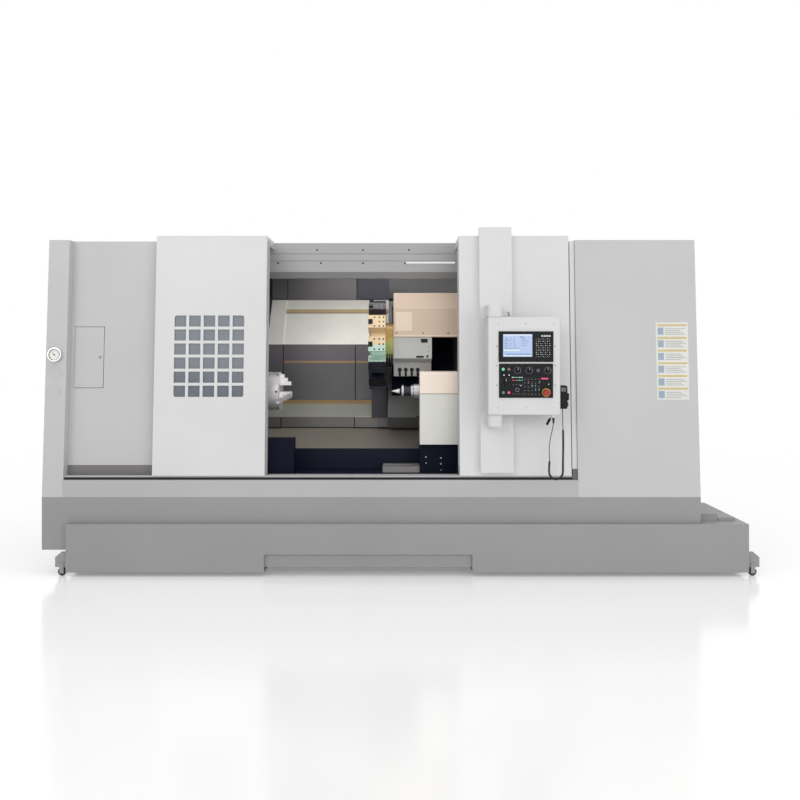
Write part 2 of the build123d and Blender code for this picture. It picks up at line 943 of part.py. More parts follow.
def turret_body():
    """Turret head: housing with a row of bolt pockets, and the neck that carries the disc."""
    x = (disc_x[1] + neck_length, disc_x[1] + neck_length + turret_body_width)
    front = spindle_y + turret_front
    depth, drop, slope_drop = turret_step
    low_front = front + depth
    outline = [
        (front, turret_split - slip),
        (front, turret_split - drop),
        (low_front, turret_split - drop - slope_drop),
        (low_front, turret_foot),
        seat_on_cross_slide(turret_foot),
        seat_on_cross_slide(turret_split - slip),
    ]
    housing = prism(outline, x)
    housing += rod(neck_radius, (disc_x[1] + slip, x[0]), turret_y, turret_z)
    pocket_z = turret_split - bolt_pocket_drop
    for i in range(bolt_pockets):
        pocket_x = x[0] + (i + 1) * bolt_pocket_pitch
        housing -= peg(bolt_pocket, pocket_x, (low_front - 1, low_front + 3 * bolt_pocket), pocket_z)
        housing -= block(
            (pocket_x - bolt_pocket / 2, pocket_x + bolt_pocket / 2),
            (low_front - 1, low_front + 2 * bolt_pocket),
            (turret_foot + 2, pocket_z),
        )
    shaft_x = (disc_x[1], disc_x[1] + turret_shaft_length + slip)
    return housing - rod(turret_shaft + running, shaft_x, turret_y, turret_z)


def turret_cover():
    """Sheet cover over the turret's indexing motor, its front top edge cut back."""
    x = (disc_x[1] + neck_length, disc_x[1] + neck_length + turret_cover_width)
    front = spindle_y + turret_cover_front
    bevel_depth, bevel_drop = turret_cover_bevel
    outline = [
        (front, turret_split),
        (front, turret_cover_top - bevel_drop),
        (front + bevel_depth, turret_cover_top),
        seat_on_cross_slide(turret_cover_top),
        seat_on_cross_slide(turret_split),
    ]
    return prism(outline, x)


def turret_disc():
    """Indexing disc with one flat for each tool station, on its shaft."""
    flats = RegularPolygon(disc_radius, stations, major_radius=False, rotation=180 / stations)
    thick, face_radius, foot_radius = disc_boss
    low, high = disc_x
    disc = extrude(Plane.YZ.offset(low + thick) * flats, amount=high - low - thick)
    disc = Pos(0, turret_y, turret_z) * disc
    hub = turned(
        [
            (low, 0),
            (low, face_radius),
            (low + thick, foot_radius),
            (low + thick + 1, foot_radius),
            (low + thick + 1, 0),
        ],
        turret_y,
        turret_z,
    )
    shaft = rod(turret_shaft, (high - 1, high + turret_shaft_length), turret_y, turret_z)
    return disc + hub + shaft


def tool_blocks():
    """Tool blocks round the disc, each with its slot and a square-shank tool in it."""
    low, high = disc_x
    foot = disc_radius + tool_slot_rise
    half = tool_block_width / 2
    slot = tool_slot / 2
    tool = slot - tool_play
    holder = block((low, high), (-half, half), (disc_radius, disc_radius + tool_block_height))
    holder -= block((low - 1, low + tool_slot_depth), (-slot, slot), (foot, tool_radius))
    holder += block((low + tool_play, low + tool_slot_depth + 1), (-tool, tool), (foot, tool_radius))
    blocks = [Pos(0, turret_y, turret_z) * Rot(360 / stations * i, 0, 0) * holder for i in range(stations)]
    return Compound([solid for turned_block in blocks for solid in turned_block.solids()])


def headstock():
    """Headstock casting with two bearing bores and a relieved middle."""
    half = headstock_width / 2
    crown = spindle_z + headstock_height
    shoulder = headstock_shoulder
    low = pedestal_top
    outline = [
        (spindle_y - half, low),
        (spindle_y - half, crown - shoulder),
        (spindle_y - half + shoulder, crown),
        (spindle_y + half - shoulder, crown),
        (spindle_y + half, crown - shoulder),
        (spindle_y + half, low),
    ]
    x = (headstock_left, pedestal_right)
    casting = prism(outline, x)
    casting -= rod(spindle_radius + running, (x[0] - 1, x[1] + 1), spindle_y, spindle_z)
    relief = spindle_radius + bearing_wall
    casting -= rod(relief, (x[0] + bearing_length, x[1] - bearing_length), spindle_y, spindle_z)
    return casting


def spindle():
    """Hollow spindle with its nose flange and belt pulley."""
    nose = chuck_back
    pulley_end = pulley_x + pulley_width
    shoulder = headstock_left - wall_sheet
    return turned(
        [
            (spindle_tail, spindle_bore + running),
            (spindle_tail, spindle_tail_radius),
            (pulley_x, spindle_tail_radius),
            (pulley_x, spindle_pulley),
            (pulley_end, spindle_pulley),
            (pulley_end, spindle_step),
            (shoulder, spindle_step),
            (shoulder, spindle_radius),
            (pedestal_right + slip, spindle_radius),
            (pedestal_right + slip, spindle_nose),
            (nose, spindle_nose),
            (nose, spindle_bore + running),
        ],
        spindle_y,
        spindle_z,
    )


def chuck_body():
    """Three-jaw chuck body with a radial slot for each jaw."""
    edge = chuck_edge
    lip_back = chuck_front - jaw_slot - chuck_lip
    body = turned(
        [
            (chuck_back, spindle_bore + running),
            (chuck_back, chuck_radius - edge),
            (chuck_back + edge, chuck_radius),
            (chuck_front - edge, chuck_radius),
            (chuck_front, chuck_radius - edge),
            (chuck_front, spindle_bore - edge),
            (lip_back, spindle_bore - edge),
            (lip_back, spindle_bore + running),
        ],
        spindle_y,
        spindle_z,
    )
    half = jaw_width / 2 + slip
    for i in range(3):
        slot = block((chuck_front - jaw_slot, chuck_front + 1), (-half, half), (0, chuck_radius + 1))
        body -= Pos(0, spindle_y, spindle_z) * Rot(120 * i, 0, 0) * slot
    return body


def chuck_jaw(i):
    """One stepped jaw, seated in its slot."""
    half = jaw_width / 2
    low = chuck_front - jaw_slot + slip
    back, out = jaw_step
    outline = [
        (low, jaw_inner),
        (jaw_end, jaw_inner),
        (jaw_end, jaw_inner + out),
        (jaw_end - back, jaw_inner + out),
        (jaw_end - back, jaw_inner + 2 * out),
        (jaw_end - 2 * back, jaw_inner + 2 * out),
        (jaw_end - 2 * back, jaw_inner + 3 * out),
        (low, jaw_inner + 3 * out),
    ]
    face = make_face(Polyline(*outline, close=True))
    jaw = extrude(Plane.XZ.offset(-half) * face, amount=2 * half)
    return Pos(0, spindle_y, spindle_z) * Rot(120 * i, 0, 0) * jaw


def draw_tube():
    """Draw tube through the spindle, with the rotating clamping cylinder at its tail."""
    head_end = spindle_tail - draw_travel - draw_head_gap
    head = (head_end - draw_head_length, head_end)
    inner = spindle_bore - draw_tube_wall
    front = chuck_front - jaw_slot - chuck_lip - draw_tube_gap
    edge = chuck_edge
    return turned(
        [
            (head[0], inner),
            (head[0], draw_head_radius - edge),
            (head[0] + edge, draw_head_radius),
            (head[1], draw_head_radius),
            (head[1], spindle_bore),
            (front, spindle_bore),
            (front, inner),
        ],
        spindle_y,
        spindle_z,
    )


def motor_place():
    return at_depth(motor_depth), motor_z


def spindle_motor():
    """Spindle motor on its foot, with the shaft that carries the small pulley."""
    y, z = motor_place()
    half = motor_side / 2
    start = pulley_x + pulley_width + motor_gap
    x = (start, start + motor_length)
    corner = motor_corner
    outline = [
        (y - half, z - half + corner),
        (y - half, z + half - corner),
        (y - half + corner, z + half),
        (y + half - corner, z + half),
        (y + half, z + half - corner),
        (y + half, z - half + corner),
        (y + half - corner, z - half),
        (y + half - corner, bed_slab_top),
        (y - half + corner, bed_slab_top),
        (y - half + corner, z - half),
    ]
    body = prism(outline, x)
    return body + rod(motor_shaft, (pulley_x - motor_shaft_end, x[0] + 1), y, z)


def motor_pulley():
    y, z = motor_place()
    x = (pulley_x, pulley_x + pulley_width)
    return turned(
        [
            (x[0], motor_shaft + running),
            (x[0], motor_pulley_radius),
            (x[1], motor_pulley_radius),
            (x[1], motor_shaft + running),
        ],
        y,
        z,
    )


def drive_belt():
    """Flat toothed belt round the spindle pulley and the motor pulley."""
    y, z = motor_place()

    def loop(grow):
        big = Pos(spindle_y, spindle_z) * Circle(spindle_pulley + grow)
        small = Pos(y, z) * Circle(motor_pulley_radius + grow)
        return make_hull([*big.edges(), *small.edges()])

    band = loop(slip + belt_thickness) - loop(slip)
    return extrude(Plane.YZ.offset(pulley_x + belt_edge) * band, amount=pulley_width - 2 * belt_edge)


def tailstock_base():
    """Tailstock foot on its two ways, with skirts down both sides."""
    first, last = [spindle_y + place for place in tail_way_places]
    y = (first - tail_skirt, last + tail_way_width + tail_skirt)
    top_of_ways = bed_ledge_top + tail_way_height
    base = block(tail_x, y, (bed_ledge_top + tail_skirt / 2, tail_split))
    for way_y in (first, last):
        base -= block(
            (tail_x[0] - 1, tail_x[1] + 1),
            (way_y - slip, way_y + tail_way_width + slip),
            (bed_ledge_top, top_of_ways + slip),
        )
    between = (first + tail_way_width + tail_skirt / 2, last - tail_skirt / 2)
    base -= block((tail_x[0] - 1, tail_x[1] + 1), between, (bed_ledge_top, tail_split - tail_way_height))
    return base


def tailstock_body():
    """Tailstock housing with its quill bore, and the line where its upper cover starts."""
    front, back = spindle_y + tail_y[0], spindle_y + tail_y[1]
    housing = block(tail_x, (front, back), (tail_split, tail_crown))
    long_edges = housing.edges().filter_by(Axis.X).group_by(Axis.Z)[-1]
    housing = fillet(long_edges, tail_corner)
    line_z = spindle_z - tail_seam_drop
    along = (tail_x[0] - 1, tail_x[1] + 1)
    housing -= block(along, (front - 1, front + tail_seam), (line_z - tail_seam, line_z))
    bore = (tail_x[0] - 1, tail_x[0] + quill_length + quill_room)
    return housing - rod(quill_radius + running, bore, spindle_y, spindle_z)


def quill():
    """Quill with a bore for the live centre."""
    low = centre_rings[1][1] + slip
    body = rod(quill_radius, (low, low + quill_length), spindle_y, spindle_z)
    bore = (low - 1, low + centre_shank_length + slip)
    return body - rod(centre_shank + running, bore, spindle_y, spindle_z)


def live_centre():
    """Rotating centre: cone, two rings and a shank."""
    (first_low, first_high), (second_low, second_high) = centre_rings
    neck = centre_neck_radius
    return turned(
        [
            (centre_tip, 0),
            (first_low - centre_cone_land, centre_cone_radius),
            (first_low, centre_cone_radius),
            (first_low, centre_ring_radius),
            (first_high, centre_ring_radius),
            (first_high, neck),
            (second_low, neck),
            (second_low, centre_ring_radius),
            (second_high, centre_ring_radius),
            (second_high, centre_shank),
            (second_high + centre_shank_length, centre_shank),
            (second_high + centre_shank_length, 0),
        ],
        spindle_y,
        spindle_z,
    )


def door(x):
    """Sliding door: leaning front pan that folds over the roof to reach the header beam."""
    under = door_top - door_top_sheet
    tail = at_depth(header_depth) - slip
    outline = [
        (leaning_front(door_foot), door_foot),
        (leaning_front(door_top), door_top),
        (tail, door_top),
        (tail, under),
        (leaning_front(under, door_thickness), under),
        (leaning_front(door_foot, door_thickness), door_foot),
    ]
    body = prism(outline, x)
    low = door_foot + door_rim
    high = under - door_rim
    pocket = [
        (leaning_front(low, door_skin), low),
        (leaning_front(high, door_skin), high),
        (leaning_front(high, door_thickness + 1), high),
        (leaning_front(low, door_thickness + 1), low),
    ]
    return body - prism(pocket, (x[0] + door_rim, x[1] - door_rim))


def window_panes():
    """Outlines of the panes, drawn in the front view with their lower left corner at the origin."""
    panes = []
    for column in range(window_columns):
        for row in range(window_rows):
            x = column * (pane_width + window_bar) + pane_width / 2
            z = row * (pane_height + window_bar) + pane_height / 2
            panes.append(Pos(x, z) * Rectangle(pane_width, pane_height))
    return panes


def window_size():
    width = window_columns * pane_width + (window_columns - 1) * window_bar
    height = window_rows * pane_height + (window_rows - 1) * window_bar
    return width, height


def door_plane(z):
    """Plane of the door's front at a height, looking from the front, X right and up the lean."""
    tilt = radians(lean)
    return Plane(origin=(0, leaning_front(z), z), x_dir=(1, 0, 0), z_dir=(0, -cos(tilt), sin(tilt)))


def left_door():
    """Left door with its grid of window panes."""
    body = door((left_door_x, left_door_x + left_door_width))
    width, height = window_size()
    plane = door_plane(window_z)
    grid = Sketch() + window_panes()
    rounded = Pos(width / 2, height / 2) * RectangleRounded(width, height, pane_corner)
    grid = grid & rounded
    grid = plane * (Pos(window_x, 0) * grid)
    return body - extrude(grid, amount=-(door_skin + glass_thickness)) - extrude(grid, amount=2)


def door_window():
    """One sheet of glass behind the grid."""
    width, height = window_size()
    plane = door_plane(window_z).offset(-door_skin - 0.5)
    sheet_size = (width + 2 * glass_margin, height + 2 * glass_margin)
    face = Pos(window_x + width / 2, height / 2) * Rectangle(*sheet_size)
    return extrude(plane * face, amount=-glass_thickness)


def right_door():
    return door((right_door_x, right_door_x + right_door_width))


def panel_column():
    """Upright on the right door, with the two arms that carry the operator's panel."""
    x = (column_x, column_x + panel_column_width)
    low, high = panel_column_foot, panel_column_top
    upright = prism(
        [
            (leaning_front(low, -panel_column_depth), low),
            (leaning_front(high, -panel_column_depth), high),
            (leaning_front(high), high),
            (leaning_front(low), low),
        ],
        x,
    )
    arm_x = (pivot_x - pivot_arm_width / 2, pivot_x + pivot_arm_width / 2)
    upper_z = (box_z[1] + pivot_gap, box_z[1] + pivot_gap + pivot_arm_height)
    lower_z = (box_z[0] - pivot_gap - pivot_arm_height, box_z[0] - pivot_gap)
    for z in (upper_z, lower_z):
        reach = leaning_front(z[0], -panel_column_depth / 2)
        arm = block(arm_x, (pivot_y - pivot_arm_width / 2, reach), z)
        corners = arm.edges().filter_by(Axis.Z).group_by(Axis.Y)[0]
        upright += fillet(corners, pivot_arm_round)
    bore_z = (lower_z[0] + 2 * pivot_end / 3, upper_z[1] - 2 * pivot_end / 3)
    keep = post(pivot_radius + running, pivot_x, pivot_y, bore_z)
    return upright - keep


def from_left(*places):
    """X of places given from the operator's box's left side."""
    return tuple(box_x[0] + place for place in places)


def from_foot(*heights):
    """Z of heights given from the box's foot."""
    return tuple(box_z[0] + height for height in heights)


def on_box(place):
    """(x, z) of a control on the box."""
    return box_x[0] + place[0], box_z[0] + place[1]


def control_box():
    """Panel box with pivot pins above and below, and pockets for the two front plates."""
    body = block(box_x, (box_front_y, box_back_y), box_z)
    body = fillet(body.edges().filter_by(Axis.Z).group_by(Axis.Y)[0], box_corner)
    for x, z in ((screen_x, screen_z), (switch_x, switch_z)):
        body -= block(from_left(*x), (box_front_y - 1, box_front_y + inset), from_foot(*z))
    reach = pivot_gap + pivot_arm_height - pivot_end
    body += post(pivot_radius, pivot_x, pivot_y, (box_z[1] - 1, box_z[1] + reach))
    body += post(pivot_radius, pivot_x, pivot_y, (box_z[0] - reach, box_z[0] + 1))
    body += post(gland_radius, gland_x, pivot_y, (box_z[0] - gland_length, box_z[0] + 1))
    return body


def screen_unit():
    """Display with its key field, set in the box front."""
    y = (plate_face, plate_face + plate_thickness)
    unit = block(from_left(*screen_x), y, from_foot(*screen_z))
    unit -= block(from_left(*display_x), (y[0] - 1, y[0] + display_depth), from_foot(*display_z))
    key_y = (y[0] - key_rise, y[0] + 1)
    for row in range(key_rows):
        z = from_foot(key_start[1] + row * key_pitch, key_start[1] + row * key_pitch + key_size)
        for column in range(key_columns):
            left = key_start[0] + column * key_pitch
            unit += block(from_left(left, left + key_size), key_y, z)
    return unit


def switch_panel():
    """Switch plate with the stems' holes, its fixed knobs and small switches."""
    y = (plate_face, plate_face + plate_thickness)
    plate = block(from_left(*switch_x), y, from_foot(*switch_z))
    for place in (stop_place, start_place, mode_place, feed_place):
        x, z = on_box(place)
        plate -= peg(button_stem + running, x, (y[0] - 1, y[1] + 1), z)
    for place in fixed_knobs:
        x, z = on_box(place)
        plate += peg(knob_radius, x, (y[0] - fixed_knob_height, y[0] + 1), z)
    for place in small_switches:
        x, z = on_box(place)
        plate += peg(small_switch_radius, x, (y[0] - small_switch_height, y[0] + 1), z)
    return plate


def start_button():
    """Round push button: a cap that stands off by its travel, on a stem through the plate."""
    x, z = on_box(start_place)
    rest = plate_face - button_travel
    cap = peg(button_radius, x, (rest - button_height, rest), z)
    return cap + peg(button_stem, x, (rest - 1, rest + plate_thickness - slip), z)


def emergency_stop():
    """Mushroom button."""
    x, z = on_box(stop_place)
    top = box_front_y - stop_reach
    rest = plate_face - stop_travel
    crown = peg(stop_radius, x, (top, top + stop_crown), z)
    neck = peg(stop_radius - button_stem, x, (top + stop_crown - 1, rest), z)
    stem = peg(button_stem, x, (rest - 1, rest + plate_thickness - slip), z)
    return crown + neck + stem


def knob(place, radius, height):
    """Turning knob with a grip bar across it."""
    x, z = on_box(place)
    face = plate_face - slip
    body = peg(radius, x, (face - height * 0.45, face), z)
    grip_x = (x - radius * 0.28, x + radius * 0.28)
    grip = block(grip_x, (face - height, face - 1), (z - radius * 0.92, z + radius * 0.92))
    stem = peg(button_stem, x, (face - 1, face + plate_thickness - 1), z)
    return body + grip + stem


def pendant():
    """Hand pendant hung on the box's right side, with two fixed selectors."""
    y = (pivot_y - pendant_depth / 2, pivot_y + pendant_depth / 2)
    body = block((box_right, box_right + pendant_width), y, pendant_z)
    body = fillet(body.edges().filter_by(Axis.Y), pendant_corner)
    face = box_right + pendant_width
    body -= rod(button_stem + running, (face - pendant_bore, face + 1), pivot_y, pendant_knob_z)
    selector_x = (face - 1, face + pendant_corner)
    for rise in selector_rises:
        body += rod(button_stem, selector_x, pivot_y - selector_side, pendant_z[0] + rise)
    return body


def pendant_wheel():
    """Pulse handwheel on the pendant."""
    face = box_right + pendant_width + slip
    body = rod(pendant_knob_radius, (face, face + pendant_knob_height), pivot_y, pendant_knob_z)
    return body + rod(button_stem, (face - pendant_bore + 2, face + 1), pivot_y, pendant_knob_z)


# The cord's route, chosen by hand: it hangs in the plane of the pivot
gland_foot = box_z[0] - gland_length
lead_a_route = (
    (1005.7, 1026),
    (1001, 990),
    (989, 945),
    (979.5, 890),
    (977.5, 835),
    (981, 785),
)
curl_route = (
    (981, 785),
    (977, 736),
    (978, 688),
    (1005, 660),
    (1043, 660),
    (1069, 688),
    (1068, 748),
    (1069.5, 830),
    (1070.5, 912),
    (1068.6, 990),
)
lead_b_route = (
    (1068.6, 990),
    (1066.2, 1036),
    (1066.8, 1080),
    (1065, 1123),
)


def route_path(points):
    """Straight runs joined by tangent arcs, each as large as its two runs allow."""
    places = [Vector(x, pivot_y, z) for x, z in points]
    radii = []
    for before, at, after in zip(places, places[1:], places[2:]):
        first, second = at - before, after - at
        turn = radians(first.get_angle(second))
        radii.append(0.45 * min(first.length, second.length) / tan(turn / 2))
    return FilletPolyline(*places, radius=radii), radii


def cord_tube(points, radius, name):
    path, radii = route_path(points)
    start = Plane(origin=path @ 0, z_dir=path % 0)
    tube = sweep(start * Circle(radius), path=path)
    share = tube.volume / (pi * radius**2 * path.length)
    print(name, "radii", [round(r) for r in radii], "volume share", round(share, 4))
    return tube


def cord_lead_a():
    """Thin lead from the gland to the curly stretch, with its strain relief."""
    return cord_tube(lead_a_route, lead_radius, "cord_lead_a")


def strain_relief():
    """Tapered strain relief between the gland and the lead."""
    top = gland_foot
    foot = lead_a_route[0][1]
    body = Pos(gland_x, pivot_y, (top + foot) / 2) * Cone(lead_radius + 1.5, gland_radius - 4, top - foot)
    return body


def cord_curl():
    return cord_tube(curl_route, curl_radius, "cord_curl")


def cord_lead_b():
    return cord_tube(lead_b_route, lead_radius, "cord_lead_b")


def coolant_tank():
    """Coolant and chip tank that rolls out from under the machine, with its caster brackets."""
    front = front_y - tank_lip
    x = tank_x
    face = front + tank_front_wall
    tray_back = at_depth(tray_depth)
    tank = prism(
        [
            (front, tank_bottom),
            (front, tank_top),
            (face, tank_top),
            (face, tray_top),
            (tray_back, tray_top),
            (tray_back, tank_bottom),
        ],
        x,
    )
    side = (cabinet_right + tank_gap, x[1])
    tank += block(side, (front, at_depth(tank_side_depth)), (tank_bottom, tank_top))
    notch = block(notch_x, (front - 1, front + notch_recess), (tank_bottom - 1, notch_top))
    tops = notch.edges().filter_by(Axis.Y).group_by(Axis.Z)[-1]
    tank -= fillet(tops, notch_corner)
    tank -= block(notch_x, (front - 1, tray_back + 1), (tank_bottom - 1, notch_floor))
    tank -= block(
        (x[0] + tank_wall, notch_x[0] - tank_wall),
        (face - tank_wall, tray_back - tank_wall),
        (tank_bottom + tank_wall, tray_top - tank_wall),
    )
    left = side[0] + tank_fitting_gap
    for width, depth, height in (pump_size, lid_size):
        y = (at_depth(pump_depth), at_depth(pump_depth) + depth)
        tank += block((left, left + width), y, (tank_top - 1, tank_top + height))
        left += width + tank_fitting_gap
    for wheel_x, wheel_y in wheel_places():
        tank += caster_bracket(wheel_x, wheel_y)
    return tank


def wheel_places():
    """Place of each caster wheel: left front, left rear, right front, right rear."""
    left = tank_x[0] - wheel_inset
    right = tank_x[1] + wheel_inset
    near = front_y - tank_lip + wheel_end_gap
    return (
        (left, near),
        (left, at_depth(tray_depth) - wheel_end_gap),
        (right, near),
        (right, at_depth(tank_side_depth) - wheel_end_gap),
    )


def caster_bracket(x, y):
    """Gusset on the tank's end with a fork for the wheel."""
    side = -1 if x < 0 else 1
    wall = tank_x[0] if side < 0 else tank_x[1]
    out = x + side * bracket_reach
    low = wheel_radius * 2 + bracket_gap
    top = low + bracket_height
    half = wheel_width / 2 + slip
    shape = [
        (wall, low),
        (wall, top),
        (x + side * bracket_gap, top),
        (out, top - bracket_slope),
        (out, low),
    ]
    gusset = extrude(Plane.XZ.offset(-(y + half)) * make_face(Polyline(*shape, close=True)), amount=2 * half)
    fork_x = (x - fork_width / 2, x + fork_width / 2)
    for near in (y - half - bracket_sheet, y + half):
        gusset += block(fork_x, (near, near + bracket_sheet), (wheel_radius - fork_rise, low + fork_width))
    axle = peg(axle_radius, x, (y - half - 1, y + half + 1), wheel_radius)
    return gusset + axle


def caster_wheel(i):
    """Caster wheel with a bevelled tread, on the bracket's axle."""
    x, y = wheel_places()[i]
    wheel = peg(wheel_radius, x, (y - wheel_width / 2, y + wheel_width / 2), wheel_radius)
    wheel = chamfer(wheel.edges().filter_by(GeomType.CIRCLE), wheel_bevel)
    return wheel - peg(axle_radius + running, x, (y - wheel_width, y + wheel_width), wheel_radius)


def levelling_feet():
    """Levelling feet under the bed: pad, stud and lock nut."""
    feet = []
    span = (pedestal_left + foot_inset, bed_right - foot_inset)
    pitch = (span[1] - span[0]) / (foot_columns - 1)
    for depth in foot_depths:
        for i in range(foot_columns):
            x, y = span[0] + i * pitch, at_depth(depth)
            foot = post(foot_pad, x, y, (0, foot_pad_height))
            foot += post(foot_stud, x, y, (foot_pad_height - 1, base_bottom))
            corner_radius, height = foot_nut
            nut = extrude(Pos(x, y, base_bottom - height) * RegularPolygon(corner_radius, 6), amount=height)
            feet.append(foot + nut)
    return Compound([solid for foot in feet for solid in foot.solids()])


def gauge_x():
    return cabinet_left + gauge_inset


def pressure_gauge():
    """Round pressure gauge on the left column, with a raised rim."""
    tilt = radians(lean)
    middle = (gauge_x(), leaning_front(gauge_z), gauge_z)
    plane = Plane(origin=middle, x_dir=(1, 0, 0), z_dir=(0, -cos(tilt), sin(tilt)))
    body = extrude(plane * Circle(gauge_radius), amount=gauge_depth)
    dial = Circle(gauge_radius - gauge_rim)
    return body - extrude(plane.offset(gauge_depth - gauge_recess) * dial, amount=gauge_recess + 1)


def hatch_solid(grow, depth, x):
    """The service hatch's slab in the recessed wall, or its opening when grown."""
    low, high = hatch_z
    before = grow * 5
    return prism(
        [
            (leaning_front(low - grow, recess - before), low - grow),
            (leaning_front(high + grow, recess - before), high + grow),
            (leaning_front(high + grow, recess + depth), high + grow),
            (leaning_front(low - grow, recess + depth), low - grow),
        ],
        x,
    )


def side_hatch():
    """Service hatch: its hinged edge is rounded about the hinge's axis, and it has a finger hole."""
    slab = hatch_solid(0, panel, hatch_x)
    along = [edge for edge in slab.edges().group_by(Axis.X)[0] if abs((edge % 0.5).Z) > 0.5]
    hinged = sorted(along, key=lambda edge: edge.center().Y)[0]
    slab = fillet(hinged, hatch_round)
    z = (hatch_z[0] + hatch_z[1]) / 2
    depth = (leaning_front(z, recess) - hatch_pull, leaning_front(z, recess) + hatch_pull)
    return slab - peg(hatch_pull, hatch_x[1] - 2 * hatch_pull, depth, z)


def header_beam():
    """Header beam over the opening, with two long grooves and a sloping lower lip."""
    near = at_depth(header_depth)
    far = at_depth(header_depth + header_thickness)
    points = [
        (far, header_top),
        (far, header_bottom),
        (near + header_lip[0], header_bottom),
        (near, header_bottom + header_lip[1]),
    ]
    for drop in groove_drops:
        z = header_top - drop
        points += [(near, z - groove), (near + groove, z), (near, z + groove)]
    points.append((near, header_top))
    return prism(points, header_x)


sub_parts = {
    "bed_casting": bed_casting,
    "base_skirt": base_skirt,
    "door_sill": door_sill,
    "left_cabinet": left_cabinet,
    "right_cabinet": right_cabinet,
    "rear_cover": rear_cover,
    "header_beam": header_beam,
    "inner_walls": inner_walls,
    "chip_guard": chip_guard,
    "way_cover_fixed": way_cover_fixed,
    "way_cover_inner": way_cover_inner,
    "way_cover_left": way_cover_left,
    "way_cover_right": way_cover_right,
    "saddle": saddle,
    "z_ball_screw": z_ball_screw,
    "z_servo": z_servo,
    "cross_slide": cross_slide,
    "turret_body": turret_body,
    "turret_cover": turret_cover,
    "turret_disc": turret_disc,
    "tool_blocks": tool_blocks,
    "headstock": headstock,
    "spindle": spindle,
    "chuck_body": chuck_body,
    "draw_tube": draw_tube,
    "spindle_motor": spindle_motor,
    "motor_pulley": motor_pulley,
    "drive_belt": drive_belt,
    "tailstock_base": tailstock_base,
    "tailstock_body": tailstock_body,
    "quill": quill,
    "live_centre": live_centre,
    "left_door": left_door,
    "door_window": door_window,
    "right_door": right_door,
    "panel_column": panel_column,
    "control_box": control_box,
    "screen_unit": screen_unit,
    "switch_panel": switch_panel,
    "emergency_stop": emergency_stop,
    "start_button": start_button,
    "mode_knob": lambda: knob(mode_place, mode_radius, mode_height),
    "feed_knob": lambda: knob(feed_place, knob_radius, knob_height),
    "pendant": pendant,
    "pendant_wheel": pendant_wheel,
    "strain_relief": strain_relief,
    "cord_lead_a": cord_lead_a,
    "cord_curl": cord_curl,
    "cord_lead_b": cord_lead_b,
    "coolant_tank": coolant_tank,
    "levelling_feet": levelling_feet,
    "pressure_gauge": pressure_gauge,
    "side_hatch": side_hatch,
}
for i in range(3):
    sub_parts[f"chuck_jaw_{i + 1}"] = lambda i=i: chuck_jaw(i)
for i, corner in enumerate(("left_front", "left_rear", "right_front", "right_rear")):
    sub_parts[f"wheel_{corner}"] = lambda i=i: caster_wheel(i)

os.makedirs("parts", exist_ok=True)
for name, make in sub_parts.items():
    export_step(make(), f"parts/{name}.step")
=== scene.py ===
# %% [markdown]
# # Dressing a slant-bed turning lathe for a studio picture
# The machine comes in as a finished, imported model: every casting, door and button already has its
# real size and place. This lesson gives each of them a surface, and adds what is too small or too
# soft for the construction model: screws, seals, wipers, printed marks, a screen and a cord.
# Everything is in metres, X to the operator's right, Y to the back and Z up.

from math import cos, pi, radians, sin, tan

import bmesh
import bpy
from mathutils import Matrix, Vector


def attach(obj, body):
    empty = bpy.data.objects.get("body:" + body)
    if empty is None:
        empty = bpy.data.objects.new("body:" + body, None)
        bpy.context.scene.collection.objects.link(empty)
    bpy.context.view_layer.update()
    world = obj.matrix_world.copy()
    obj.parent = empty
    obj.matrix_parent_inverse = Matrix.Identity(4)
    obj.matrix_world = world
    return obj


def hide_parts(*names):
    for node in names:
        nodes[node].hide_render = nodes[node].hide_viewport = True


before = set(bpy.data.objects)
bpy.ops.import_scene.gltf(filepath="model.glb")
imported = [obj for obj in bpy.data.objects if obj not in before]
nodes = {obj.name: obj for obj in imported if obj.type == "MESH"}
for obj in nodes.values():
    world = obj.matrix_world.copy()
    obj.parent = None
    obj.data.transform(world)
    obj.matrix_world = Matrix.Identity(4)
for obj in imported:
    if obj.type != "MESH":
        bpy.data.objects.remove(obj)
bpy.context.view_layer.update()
scene = bpy.context.scene
print("machine loaded with", len(nodes), "pieces")

# %% [markdown]
# ## The camera
# The picture was taken from straight in front, about six and a half metres away and at chest
# height. The camera is level, so upright edges stay upright, and the frame is shifted down a
# little instead of tilting the lens. A shift keeps the cabinet's sides parallel, which a tilt would
# not.

# %% Camera
BASE_FRONT = -0.885
CAMERA_DISTANCE = 6.5
EYE_HEIGHT = 1.474
PICTURE_WIDTH = 5.36
SENSOR = 36.0
FRAME_SHIFT = -0.05625  # of the picture's width


def placed(name, data):
    """A new object in the scene."""
    made = bpy.data.objects.new(name, data)
    scene.collection.objects.link(made)
    return made


camera = placed("studio_camera", bpy.data.cameras.new("studio_camera"))
camera.location = (0, BASE_FRONT - CAMERA_DISTANCE, EYE_HEIGHT)
camera.rotation_euler = (radians(90), 0, 0)
camera.data.sensor_width = SENSOR
camera.data.lens = SENSOR * CAMERA_DISTANCE / PICTURE_WIDTH
camera.data.shift_y = FRAME_SHIFT
camera.data.clip_end = 60
scene.camera = camera
scene.view_settings.view_transform = "Standard"
print("lens", round(camera.data.lens, 1), "mm")

# %% [markdown]
# ## Colours and nodes
# Paint makers and photographs give colours in sRGB, and Blender's nodes want linear light, so one
# function turns a hex value into the other. A second small function adds any node, sets its
# sockets or links them, and is all that the materials below are written with.

# %% Helpers for materials


def linear(hex_colour):
    """An sRGB hex colour as linear RGBA."""
    channels = [int(hex_colour[i : i + 2], 16) / 255 for i in (0, 2, 4)]
    return (*[c / 12.92 if c <= 0.04045 else ((c + 0.055) / 1.055) ** 2.4 for c in channels], 1)


